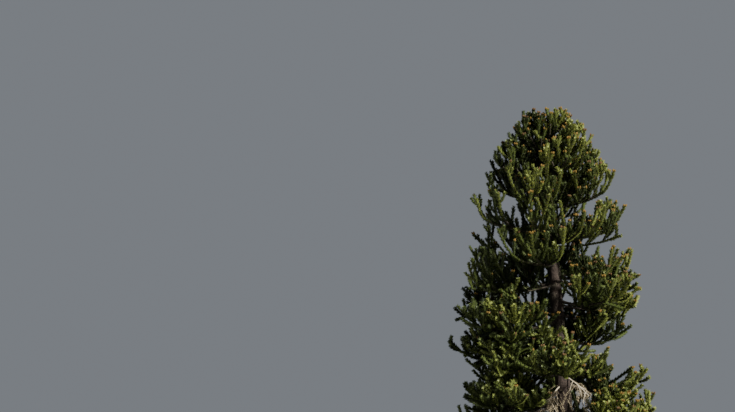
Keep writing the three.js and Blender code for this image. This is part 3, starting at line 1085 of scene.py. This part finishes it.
def line_mesh(ropes):
    """Ropes as lines that hold their girth: thinner at the foot, and closing at the tip."""
    points, girths = [], []
    for rope in ropes:
        close = max(0.7, 1 - ROPE_TIP / rope.bend.length)
        at = np.append(np.linspace(0, close, ROPE_STATIONS - 1), 1.0)
        swell = np.interp(at, (0, 0.2, 0.7, close, 1), (0.74, 0.93, 1.0, 1.12, 0.8))
        points.append(rope.bend.point(at))
        girths.append(rope.girth * swell)
    mesh = point_mesh(np.concatenate(points), girth=np.concatenate(girths))
    starts = np.arange(len(ropes) * ROPE_STATIONS).reshape(-1, ROPE_STATIONS)[:, :-1].ravel()
    mesh.edges.add(len(starts))
    mesh.edges.foreach_set("vertices", np.stack((starts, starts + 1), axis=1).ravel())
    mesh.update()
    return mesh


def joined(parts):
    """Points and faces of several parts as those of one."""
    points, faces, count = [], [], 0
    for part_points, part_faces in parts:
        points.append(part_points)
        faces.extend((np.asarray(face) + count).tolist() for face in part_faces)
        count += len(part_points)
    return np.concatenate(points).tolist(), faces


def tube(middles, across, other, radii):
    """A closed tube: its middle points, two directions square to it, and radii by ring and side.

    across, other and the way along the tube are right-handed, so that the faces point out.
    """
    rings, sides = radii.shape
    angles = around(sides)
    spokes = across[:, None] * np.cos(angles)[:, None] + other[:, None] * np.sin(angles)[:, None]
    points = (middles[:, None] + radii[..., None] * spokes).reshape(-1, 3)
    points = np.concatenate((points, middles[:1], middles[-1:]))
    ring, side = np.meshgrid(np.arange(rings - 1), np.arange(sides), indexing="ij")
    here = ring * sides + side
    there = ring * sides + (side + 1) % sides
    walls = np.stack((here, there, there + sides, here + sides), axis=-1).reshape(-1, 4).tolist()
    foot, tip = rings * sides, rings * sides + 1
    last = (rings - 1) * sides
    ends = [[foot, (i + 1) % sides, i] for i in range(sides)]
    ends += [[tip, last + i, last + (i + 1) % sides] for i in range(sides)]
    return points, walls + ends


def upright_tube(middles, radii):
    """A tube that goes up in level rings."""
    across, other = (np.tile(one, (len(middles), 1)) for one in ((1.0, 0, 0), (0, 1.0, 0)))
    return tube(middles, across, other, radii)


def limb_tube(bend, stations, radii):
    """A tube along a bend."""
    along = bend.direction(stations)
    across = np.cross(along, (0.3, 0.2, 0.07) if abs(along[0][2]) > 0.95 else UP)
    across /= np.linalg.norm(across, axis=1, keepdims=True)
    return tube(bend.point(stations), across, np.cross(along, across), radii)


def thin_tube(bend, first, rings, sides, radii):
    """A tube along a bend from a share of it on, with its radii at the bend's foot and tip."""
    stations = np.linspace(first, 1, rings)
    return limb_tube(bend, stations, np.tile(np.interp(stations, (0, 1), radii)[:, None], sides))


def scattered(cells):
    """Three steady draws between 0 and 1 for each whole-numbered cell."""
    key = (cells * np.array((73856093, 19349663, 83492791))).sum(-1) % 2**32
    draws = []
    for factor in (2654435761, 2246822519, 3266489917):
        mixed = (key * factor) % 2**32
        mixed ^= mixed >> 15
        mixed = (mixed * 668265263) % 2**32
        draws.append((mixed ^ (mixed >> 13)) / 2**32)
    return np.stack(draws, axis=-1)


def plate_edges(points, size):
    """How far each point is from the edge of the plate it is on, in shares of a plate's size."""
    scaled = points / size
    base = np.floor(scaled).astype(np.int64)
    nearest = np.full(len(points), 9.0)
    second = np.full(len(points), 9.0)
    for shift in itertools.product((-1, 0, 1), repeat=3):
        cells = base + shift
        distance = np.linalg.norm(cells + scattered(cells) - scaled, axis=1)
        second = np.minimum(second, np.maximum(nearest, distance))
        nearest = np.minimum(nearest, distance)
    return second - nearest


def cracks(points, shape, size, width):
    """How deep the cracks between plates are, from 0 to 1, in a grid of points."""
    return 1 - np.clip(plate_edges(points, size).reshape(shape) / width, 0, 1)


def bark_material(name, tint, pale, plate_size):
    """Dark bark in plates with cracks between, and pale lichen where it has weathered."""
    graph = SurfaceGraph(name)
    inputs = {"Vector": graph.place, "Scale": (1.0, 1.0, 1.35)}
    stretched = graph.node("ShaderNodeMapping", inputs)
    wobble = graph.noise(6.0, 5.0, output="Color")
    bent = graph.mixed(0.06, stretched, wobble, blend_type="LINEAR_LIGHT")
    inputs = {"Vector": bent, "Scale": 1 / plate_size}
    edge = graph.node("ShaderNodeTexVoronoi", inputs, feature="DISTANCE_TO_EDGE")
    fine = graph.noise(55.0, 6.0, stretched)
    broad = graph.noise(2.3, 4.0)
    plate = graph.rise(edge, 0.0, 0.16)
    share = plate * (fine * 0.7 + broad * 0.45)
    colour = graph.ramp(share, tint, ((0.0, 0.35), (0.45, 1), (1.0, 1.7)))
    patch = graph.rise(broad * 0.6 + fine * 0.4, 0.53, 0.66)
    return graph.finish(
        Base_Color=graph.mixed(patch * plate * 0.75, colour, (*pale, 1)),
        Roughness=0.96 - fine * 0.12,
        Normal=graph.bump(plate * 0.7 + fine * 0.45, strength=0.7, distance=0.012),
    )


def leaf_material(name, colour, roughness):
    """One plain leaf colour with a waxy, finely ribbed surface."""
    graph = SurfaceGraph(name)
    wear = graph.noise(90.0, 3.0)
    return graph.finish(
        Base_Color=(*colour, 1),
        Roughness=wear * 0.3 + (roughness - 0.15),
        Normal=graph.bump(wear, strength=0.35, distance=0.002),
        Specular_IOR_Level=0.3,
    )


def dead_material(name, tint):
    """Bleached wood or dry scales, streaked and flecked."""
    graph = SurfaceGraph(name)
    streak = graph.noise(38.0, 6.0)
    return graph.finish(
        Base_Color=graph.ramp(streak, tint, ((0.25, 0.4), (0.5, 1), (0.75, 1.45))),
        Roughness=0.9,
        Normal=graph.bump(streak, strength=0.6, distance=0.004),
    )


def finished(piece, nodes):
    """Ties a piece to the tree's body and to the nodes that it stands for."""
    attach(piece, "root")
    if nodes:
        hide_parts(*nodes)
    return piece


def add_smooth(name, shape, material, nodes):
    """A smooth piece from its points and faces."""
    piece = linked(name, mesh_of(name, *shape, material))
    finished(smooth(piece), nodes)


def smooth(piece):
    polygons = piece.data.polygons
    polygons.foreach_set("use_smooth", np.ones(len(polygons), bool))
    return piece


def nodes_named(start):
    return sorted(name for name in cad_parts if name.startswith(start))


def number_property(name, description, default, **kind):
    return bpy.props.FloatProperty(name=name, description=description, default=default, **kind)


def length_property(name, description, default):
    return number_property(name, description, default, unit="LENGTH")


def angle_property(name, description, degrees):
    return number_property(name, description, math.radians(degrees), subtype="ANGLE")


def share_property(name, description, default):
    return number_property(name, description, default, subtype="FACTOR", min=0, max=1)


def colour_property(name, description, default):
    return bpy.props.FloatVectorProperty(
        name=name, description=description, default=default, size=3, subtype="COLOR", min=0, max=1
    )


class TreeSizes(bpy.types.PropertyGroup):
    """Sizes of what the tree carries."""

    shoot_radius: length_property("Shoot Radius", "From its middle to its leaf tips", 0.08)
    side_shoot_length: length_property("Side Shoot Length", "Usual length of a side shoot", 0.5)
    side_shoot_step: length_property("Side Shoot Step", "From one side shoot to the next", 0.125)
    lift_high: share_property("Lift High Up", "How far side shoots turn upright high up", 0.66)
    lift_low: share_property("Lift Low Down", "How far side shoots turn upright low down", 0.42)
    leaf_length: length_property("Leaf Length", "Foot to tip", 0.075)
    leaf_width: length_property("Leaf Width", "At the leaf's foot", 0.048)
    leaf_lean: angle_property("Leaf Lean", "From the shoot's own direction", 42)
    leaves_in_ring: bpy.props.IntProperty(
        name="Leaves in a Ring", description="Leaves in one turn of the spiral", default=7, min=3
    )
    ring_step: length_property("Ring Step", "From one turn of leaves to the next", 0.046)
    cone_length: length_property("Cone Length", "Of a pollen cone", 0.1)
    cone_radius: length_property("Cone Radius", "Of a pollen cone", 0.03)
    bark_relief: length_property("Bark Relief", "Depth of the cracks in the trunk's bark", 0.014)


class TreeColours(bpy.types.PropertyGroup):
    """Plain base colours of the tree's parts."""

    # Painted light and shade: the five leaf greens, from deep to sun green, stand for shaded and
    # inner sprays up to outer and sunlit ones
    deep_green: colour_property("Deep Green", "Shaded sprays", (0.012, 0.02, 0.006))
    dark_green: colour_property("Dark Green", "Inner sprays", (0.03, 0.044, 0.01))
    leaf_green: colour_property("Leaf Green", "Most sprays", (0.057, 0.08, 0.017))
    olive: colour_property("Olive", "Outer sprays", (0.124, 0.154, 0.036))
    sun_green: colour_property("Sun Green", "Sprays that face the sun", (0.18, 0.215, 0.05))
    # The shoot core's dark green is partly the stem's colour and partly painted shade between the
    # leaves
    shoot_core: colour_property("Shoot Core", "Stems between the leaves", (0.022, 0.03, 0.008))
    fresh_cone: colour_property("Fresh Cone", "Pollen cones", (0.135, 0.08, 0.01))
    spent_cone: colour_property("Spent Cone", "Last year's pollen cones", (0.075, 0.04, 0.011))
    bark: colour_property("Bark", "Plates of the trunk's bark", (0.027, 0.017, 0.012))
    bough_bark: colour_property("Bough Bark", "Bark of the boughs", (0.038, 0.028, 0.02))
    lichen: colour_property("Lichen", "Pale lichen on bark", (0.2, 0.19, 0.13))
    dead_wood: colour_property("Dead Wood", "Bleached dead limbs", (0.48, 0.42, 0.31))
    dry_leaf: colour_property("Dry Leaf", "Dead leaves on hanging shoots", (0.33, 0.28, 0.18))


class StageSettings(bpy.types.PropertyGroup):
    """Lights of the stage."""

    key_strength: number_property("Key Strength", "Of the light from the right", 11.0)
    key_softness: angle_property("Key Softness", "Angle that the key light fills", 6)
    fill_strength: number_property("Fill Strength", "Of the light from the left", 0.12)
    fill_softness: angle_property("Fill Softness", "Angle that the fill light fills", 60)
    air_strength: number_property("Air Strength", "Of the pale air all round", 0.24)


class TrunkBark(bpy.types.Operator):
    """Makes the trunk with the relief of its bark"""

    bl_idname = "tree.trunk_bark"
    bl_label = "Trunk Bark"

    def execute(self, context):
        sizes, colours = context.scene.tree_sizes, context.scene.tree_colours
        rings, sides = TRUNK_MESH
        heights = TRUNK_TOP * np.linspace(0, 1, rings) ** TRUNK_RING_CROWDING
        angles = around(sides)
        lobes = ROOT_LOBE_SHARE * flare(heights)[:, None] * np.cos(ROOT_LOBES * angles)
        radii = trunk_radius(heights)[:, None] + lobes
        middles = trunk_axis(heights)
        surface = upright_tube(middles, radii)[0][:-2]
        strength = np.clip(radii / 0.3, 0.25, 1)
        large = cracks(surface * (1, 1, 1.3), radii.shape, TRUNK_PLATE, 0.22)
        small = cracks(surface, radii.shape, TRUNK_FINE_PLATE, 0.3)
        relief = -sizes.bark_relief * strength * large**1.5
        relief -= 0.25 * sizes.bark_relief * strength * small
        relief += scar_rings(heights, angles, strength)
        relief[heights < 0.02] = np.minimum(relief[heights < 0.02], 0)
        material = bark_material("trunk_bark", colours.bark, colours.lichen, 0.06)
        shape = upright_tube(middles, radii + relief)
        add_smooth("trunk_bark", shape, material, ["trunk"])
        return {"FINISHED"}


def scar_rings(heights, angles, strength):
    """Raised wrinkles that shed whorls have left round the trunk."""
    draw = seeded_draws("scars")
    relief = np.zeros((len(heights), len(angles)))
    height = 0.5
    while height < TRUNK_TOP:
        tilt, phase = draw(0.01, 0.04), draw(0, 2 * math.pi)
        line = height + tilt * np.cos(angles + phase)
        wide, high = draw(0.014, 0.028), draw(0.006, 0.014)
        relief += high * np.exp(-(((heights[:, None] - line) / wide) ** 2))
        height += draw(0.16, 0.42)
    return relief * strength


class BoughBark(bpy.types.Operator):
    """Makes the boughs and side limbs with the relief of their bark"""

    bl_idname = "tree.bough_bark"
    bl_label = "Bough Bark"

    def execute(self, context):
        colours = context.scene.tree_colours
        shape = joined(rough_limb(limb) for limb in crown().limbs)
        material = bark_material("bough_bark", colours.bough_bark, colours.lichen, 0.03)
        add_smooth("bough_bark", shape, material, nodes_named("bough"))
        return {"FINISHED"}


def rough_limb(limb):
    """A bough or side limb as a tube, with the woven scars of old leaves and a thick foot."""
    sides = 6 if limb.is_side else 9
    length = limb.bend.length
    start = 0.0 if limb.is_side else 0.55 * trunk_radius(limb.bend.foot[2]) / length
    stations = np.linspace(start, 0.98, max(10, round(length / 0.06)))
    along = (stations - start) * length
    collar = 1 + 0.55 * np.exp(-along / 0.16)
    radii = (limb.radius_at(stations) * collar)[:, None] * np.ones(sides)
    points = limb_tube(limb.bend, stations, radii)[0][:-2]
    depth = 0.16 * radii
    radii = radii - depth * cracks(points * (1, 1, 1.2), radii.shape, BOUGH_PLATE, 0.3)
    radii *= 1 + 0.05 * np.sin(along / 0.055 + 3 * np.sin(along / 0.21))[:, None]
    return limb_tube(limb.bend, stations, radii)


def leafy_rope_tree():
    """Rings of leaves along lines, each ring turned on from the last."""
    measures = ("Leaf Lean", "Ring Radius", "Ring Step", "Ring Reach", "Unevenness")
    kinds = {"Leaf": "Object", "Leaves in Ring": "Int", **dict.fromkeys(measures, "Float")}
    graph = ShapeGraph("Leafy ropes", kinds)
    count, step = graph.given("Leaves in Ring"), graph.given("Ring Step")
    place = graph.node("GeometryNodeInputIndex")
    inputs = {"Vertices": count, "Radius": graph.given("Ring Radius")}
    circle = graph.node("GeometryNodeMeshCircle", inputs)
    climb = graph.node("ShaderNodeCombineXYZ", {"Z": place / count * step})
    spiral = graph.node("GeometryNodeSetPosition", {"Geometry": circle, "Offset": climb})
    inputs = {"Y": graph.given("Leaf Lean"), "Z": place / count * (2 * math.pi)}
    outward = graph.node("ShaderNodeCombineXYZ", inputs)
    ring = graph.copies(graph.shape("Leaf"), spiral, outward)
    ring = graph.node("GeometryNodeRealizeInstances", {"Geometry": ring})

    inputs = {"Curve": graph.lines(), "Length": step}
    stations = graph.node("GeometryNodeResampleCurve", inputs, mode="LENGTH")
    spin = graph.node("ShaderNodeCombineXYZ", {"Z": place * RING_TURN})
    turn = graph.node("FunctionNodeEulerToRotation", {"Euler": spin})
    inputs = {"Rotation": graph.facing(graph.node("GeometryNodeInputTangent")), "Rotate By": turn}
    rotation = graph.node("FunctionNodeRotateRotation", inputs, rotation_space="LOCAL")
    uneven = graph.given("Unevenness")
    least, most = 2, 3  # its sockets for a plain number's range
    inputs = {least: 1 - uneven, most: 1 + uneven, "Seed": 17}
    draw = graph.node("FunctionNodeRandomValue", inputs, 1, data_type="FLOAT")
    scale = graph.stored("girth") / graph.given("Ring Reach") * draw
    return graph.finish(graph.copies(ring, stations, rotation, scale))


def core_tree():
    """Closed round cores along lines."""
    graph = ShapeGraph("Shoot cores", {"Sides": "Int", "Share": "Float"})
    inputs = {"Resolution": graph.given("Sides"), "Radius": 1.0}
    circle = graph.node("GeometryNodeCurvePrimitiveCircle", inputs, mode="RADIUS")
    scale = graph.stored("girth") * graph.given("Share")
    inputs = {"Curve": graph.lines(), "Profile Curve": circle, "Scale": scale, "Fill Caps": True}
    return graph.finish(graph.node("GeometryNodeCurveToMesh", inputs))


def cone_tree():
    """Copies of a shape on points, each turned to its aim and scaled to its girth."""
    graph = ShapeGraph("Cones", {"Cone": "Object"})
    rotation = graph.facing(graph.stored("aim", "FLOAT_VECTOR"))
    places, girth = graph.given("Geometry"), graph.stored("girth")
    return graph.finish(graph.copies(graph.shape("Cone"), places, rotation, girth))


def leaf_shape(length, width):
    """One stiff leaf on Z from its foot, folded along its keel, with its outer face to +X."""
    keel = 0.16 * width
    points = [(0, -width / 2, 0), (keel, 0, -0.1 * length), (0, width / 2, 0), (0, 0, length)]
    return linked("leaf", mesh_of("leaf", points, [(0, 1, 3), (1, 2, 3)]))


def leaf_values(sizes, leaf, material, unevenness=UNEVENNESS):
    core = 0.3 * sizes.shoot_radius
    return {
        "Leaf": leaf,
        "Leaf Lean": sizes.leaf_lean,
        "Leaves in Ring": sizes.leaves_in_ring,
        "Ring Radius": core,
        "Ring Step": sizes.ring_step,
        "Ring Reach": core + sizes.leaf_length * math.sin(sizes.leaf_lean),
        "Unevenness": unevenness,
        "Material": material,
    }


def lightness_of(rope, sprays_drawn):
    """Where a rope's colour lies between the deepest, 0, and the lightest, 1: painted light on the
    sun's side, painted shade further inside the crown, and a random tone.
    """
    tip = rope.bend.tip
    outward = tip - trunk_axis(tip[2])
    reach = crown_reach(max(0.0, TREE_HEIGHT - tip[2]))
    # Painted shade: sprays further inside the crown get darker colours
    openness = min(1, np.linalg.norm(outward[:2]) / reach)
    # Painted light: sprays on the sun's side get lighter colours
    side = float(np.dot(outward / reach + 0.5 * UP, SUN_SIDE))
    base, by_side, by_openness = LIGHTNESS
    return base + by_side * side + by_openness * openness**2 + sprays_drawn[rope.spray]


def dealt_colours(ropes):
    """The ropes of each leaf colour, dealt out by spray, with painted light on the sun's side and
    painted shade inside the crown.
    """
    count = max(rope.spray for rope in ropes) + 1
    spray_draw, rope_draw = seeded_draws("spray colours"), seeded_draws("rope colours")
    drawn = [spray_draw(*SPRAY_LIGHTNESS) for _ in range(count)]
    dealt = {name: [] for name in LEAF_COLOURS}
    for rope in ropes:
        lightness = lightness_of(rope, drawn) + rope_draw(*ROPE_LIGHTNESS)
        step = min(len(LEAF_COLOURS) - 1, max(0, int(lightness * len(LEAF_COLOURS))))
        dealt[LEAF_COLOURS[step]].append(rope)
    return dealt


def in_lots(ropes, cost):
    """The ropes from the top down, in as few even lots as stay under a piece's triangles."""
    total = sum(cost(rope) for rope in ropes)
    lots = [[] for _ in range(math.ceil(total / MOST_TRIANGLES))]
    spent = 0
    for rope in sorted(ropes, key=lambda one: -one.bend.tip[2]):
        lots[int(spent / total * len(lots))].append(rope)
        spent += cost(rope)
    return lots


def add_foliage(name, tree, ropes, cost, values):
    """Makes the numbered pieces that a tree grows on ropes."""
    pieces = []
    for place, lot in enumerate(in_lots(ropes, cost), start=1):
        piece = grown_on(tree, f"{name}_{place}", line_mesh(lot), values)
        nodes = sorted({f"foliage_{rope.mass}" for rope in lot})
        pieces.append(finished(piece, nodes))
    return pieces


class Leaves(bpy.types.Operator):
    """Makes the leaves of every shoot, in plain colours that are dealt out by spray, with painted
    light and shade
    """

    bl_idname = "tree.leaves"
    bl_label = "Leaves"

    def execute(self, context):
        sizes, colours = context.scene.tree_sizes, context.scene.tree_colours
        leaf = leaf_shape(sizes.leaf_length, sizes.leaf_width)
        tree = leafy_rope_tree()
        per_metre = 2 * sizes.leaves_in_ring / sizes.ring_step

        def cost(rope):
            return per_metre * rope.bend.length + 2 * sizes.leaves_in_ring

        for name, ropes in dealt_colours(crown().ropes).items():
            roughness = 0.5 if name in ("olive", "sun_green") else 0.56
            material = leaf_material(name, getattr(colours, name), roughness)
            add_foliage(f"leaves_{name}", tree, ropes, cost, leaf_values(sizes, leaf, material))
        bpy.data.objects.remove(leaf)
        return {"FINISHED"}


class ShootCores(bpy.types.Operator):
    """Makes the stems that the leaves stand on, in a dark green that is partly the stem's colour
    and partly painted shade between the leaves
    """

    bl_idname = "tree.shoot_cores"
    bl_label = "Shoot Cores"

    def execute(self, context):
        material = leaf_material("shoot_core", context.scene.tree_colours.shoot_core, 0.8)
        per_rope = 2 * CORE_SIDES * (ROPE_STATIONS - 1) + 2 * (CORE_SIDES - 2)
        values = {"Sides": CORE_SIDES, "Share": CORE_SHARE, "Material": material}
        ropes, tree = crown().ropes, core_tree()
        for piece in add_foliage("shoot_cores", tree, ropes, lambda rope: per_rope, values):
            smooth(piece)
        return {"FINISHED"}


def cone_shape(length, radius):
    """An upright pollen cone of rough scales."""
    outline = ((0.0, 0.5), (0.3, 1.0), (0.7, 0.86), (0.95, 0.35))
    stations = np.array([height for height, _ in outline])
    radii = np.array([[width] * CONE_SIDES for _, width in outline]) * radius
    radii[1::2, ::2] *= 1.14
    radii[2::2, 1::2] *= 1.14
    points, faces = upright_tube(np.outer(stations * length, UP), radii)
    points[-1] += UP * 0.05 * length
    return linked("cone", mesh_of("cone", points, faces))


def cone_places(ropes):
    """Where cones stand: one to three on the tips of some ropes, most of them high and sunny."""
    draw = seeded_draws("cones")
    fresh, spent = [], []
    base, by_height, by_sun = CONE_CHANCE
    for rope in ropes:
        chance, kind, many = draw(0, 1), draw(0, 1), draw(0, 1)
        if not rope.is_tipped:
            continue
        tip, way = rope.bend.tip, rope.bend.direction(1.0)
        outward = tip - trunk_axis(tip[2])
        highness = 1 - min(1, (TREE_HEIGHT - tip[2]) / CONE_DEPTH)
        sunny = float(np.dot(unit(outward + 0.4 * UP), SUN_SIDE))
        if chance > base + by_height * highness + by_sun * sunny or way[2] < 0.5:
            continue
        count = 1 + (many > 0.2) + (many > 0.6)
        for i in range(count):
            aside = level(2 * math.pi * i / count + 6 * many) * (0.25 if count > 1 else 0)
            aimed = unit(way + aside)
            place = tip + aimed * 0.005 + aside * 0.11
            (fresh if kind < FRESH_SHARE else spent).append((place, aimed, draw(0.75, 1.1)))
    return {"fresh_cone": fresh, "spent_cone": spent}


class Cones(bpy.types.Operator):
    """Makes the pollen cones at the tips of shoots"""

    bl_idname = "tree.cones"
    bl_label = "Cones"

    def execute(self, context):
        sizes, colours = context.scene.tree_sizes, context.scene.tree_colours
        cone = cone_shape(sizes.cone_length, sizes.cone_radius)
        tree = cone_tree()
        for name, cones in cone_places(crown().ropes).items():
            places, aims, girths = zip(*cones)
            values = {"Cone": cone, "Material": dead_material(name, getattr(colours, name))}
            base = point_mesh(places, aim=aims, girth=girths)
            finished(grown_on(tree, name + "s", base, values), [])
        bpy.data.objects.remove(cone)
        return {"FINISHED"}


class DeadWood(bpy.types.Operator):
    """Makes the two dead limbs with their hanging twigs and dry shoots"""

    bl_idname = "tree.dead_wood"
    bl_label = "Dead Wood"

    def execute(self, context):
        sizes, colours = context.scene.tree_sizes, context.scene.tree_colours
        limbs, nodes = crown().dead, nodes_named("dead_limb")
        parts = []
        for limb in limbs:
            parts.append(thin_tube(limb.bend, 0.1, 30, 8, (DEAD_LIMB_RADIUS, DEAD_TWIG_RADIUS)))
            radii = (DEAD_TWIG_RADIUS, 0.35 * DEAD_TWIG_RADIUS)
            parts += [thin_tube(twig, 0, 10, 6, radii) for twig in limb.twigs]
        material = dead_material("dead_wood", colours.dead_wood)
        add_smooth("dead_limbs", joined(parts), material, nodes)

        leaf = leaf_shape(sizes.leaf_length, DRY_LEAF_SHARE * sizes.leaf_width)
        material = dead_material("dry_leaf", colours.dry_leaf)
        values = leaf_values(sizes, leaf, material, DRY_UNEVENNESS)
        base = line_mesh(dry_ropes(limbs))
        finished(grown_on(leafy_rope_tree(), "dry_leaves", base, values), nodes)
        bpy.data.objects.remove(leaf)
        return {"FINISHED"}


def dry_ropes(limbs):
    """Dead shoots that hang from the dead limbs and their twigs."""
    draw = seeded_draws("dry shoots")
    ropes = []
    for limb in limbs:
        for twig in [limb.bend, *limb.twigs]:
            for _ in range(DRY_SHOOTS):
                at = draw(0.15, 1.0)
                away = turned(limb.heading, draw(*DRY_TURN))
                length = draw(*DRY_LENGTH)
                start, end = math.radians(draw(*DRY_START)), math.radians(draw(*DRY_END))
                bend = shoot_bend(twig.point(at), away, length, start, end)
                ropes.append(Rope("dead", bend, draw(*DRY_GIRTH), 0, False))
    return ropes


class Stage(bpy.types.Operator):
    """Makes the floor, the lights and the camera"""

    bl_idname = "tree.stage"
    bl_label = "Stage"

    def execute(self, context):
        settings = context.scene.tree_stage
        add_floor()
        for name in ("key", "fill"):
            strength = getattr(settings, f"{name}_strength")
            add_light(name, strength, getattr(settings, f"{name}_softness"), *LIGHTS[name])
        world = bpy.data.worlds.new("pale_air")
        world.use_nodes = True
        background = world.node_tree.nodes["Background"]
        background.inputs["Color"].default_value = (0.8, 0.86, 0.95, 1)
        background.inputs["Strength"].default_value = settings.air_strength
        context.scene.world = world
        add_camera(context.scene)
        return {"FINISHED"}


def add_floor():
    """A plain pale disc, wide enough that its edge lies far behind the tree."""
    points = FLOOR_RADIUS * spokes_of(96)
    graph = SurfaceGraph("pale_floor")
    roughness = graph.noise(3.0, 4.0) * 0.1 + 0.8
    material = graph.finish(Base_Color=(0.42, 0.415, 0.4, 1), Roughness=roughness)
    linked("floor", mesh_of("floor", points, [list(range(len(points)))], material))


def add_light(name, strength, softness, elevation, azimuth, colour):
    """A wide, soft sun from an elevation and an azimuth, which turns right from the view."""
    lamp = bpy.data.lights.new(name, "SUN")
    lamp.energy = strength
    lamp.angle = softness
    lamp.color = colour
    light = bpy.data.objects.new(name, lamp)
    light.rotation_euler = (math.radians(90 - elevation), 0, math.radians(azimuth))
    bpy.context.scene.collection.objects.link(light)


def add_camera(scene):
    """Stands where the photo was taken from: far off and at half the tree's height."""
    data = bpy.data.cameras.new("camera")
    data.sensor_width = 36
    data.lens = 67.2
    data.clip_end = 400
    camera = bpy.data.objects.new("camera", data)
    camera.location = VIEWPOINT
    camera.rotation_euler = (math.radians(90 + CAMERA_TILT), 0, 0)
    scene.collection.objects.link(camera)
    scene.camera = camera


class TreePanel(bpy.types.Panel):
    """Lists the tree's pieces and their sizes and colours"""

    bl_idname = "VIEW3D_PT_monkey_puzzle_tree"
    bl_label = "Monkey Puzzle Tree"
    bl_space_type = "VIEW_3D"
    bl_region_type = "UI"
    bl_category = "Tree"

    def draw(self, context):
        for operator in OPERATORS:
            self.layout.operator(operator.bl_idname)
        for name, kind in GROUPS.items():
            box = self.layout.box()
            for label in kind.__annotations__:
                box.prop(getattr(context.scene, name), label)


OPERATORS = (TrunkBark, BoughBark, Leaves, ShootCores, Cones, DeadWood, Stage)
GROUPS = {"tree_sizes": TreeSizes, "tree_colours": TreeColours, "tree_stage": StageSettings}


def register():
    for name, group in GROUPS.items():
        bpy.utils.register_class(group)
        setattr(bpy.types.Scene, name, bpy.props.PointerProperty(type=group))
    for kind in (*OPERATORS, TreePanel):
        bpy.utils.register_class(kind)


def unregister():
    for kind in (TreePanel, *reversed(OPERATORS)):
        bpy.utils.unregister_class(kind)
    for name, group in reversed(GROUPS.items()):
        delattr(bpy.types.Scene, name)
        bpy.utils.unregister_class(group)


def main():
    register()
    bpy.ops.tree.stage()
    bpy.ops.tree.trunk_bark()
    bpy.ops.tree.bough_bark()
    bpy.ops.tree.leaves()
    bpy.ops.tree.shoot_cores()
    bpy.ops.tree.cones()
    bpy.ops.tree.dead_wood()
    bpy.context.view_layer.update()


if __name__ == "__main__":
    main()
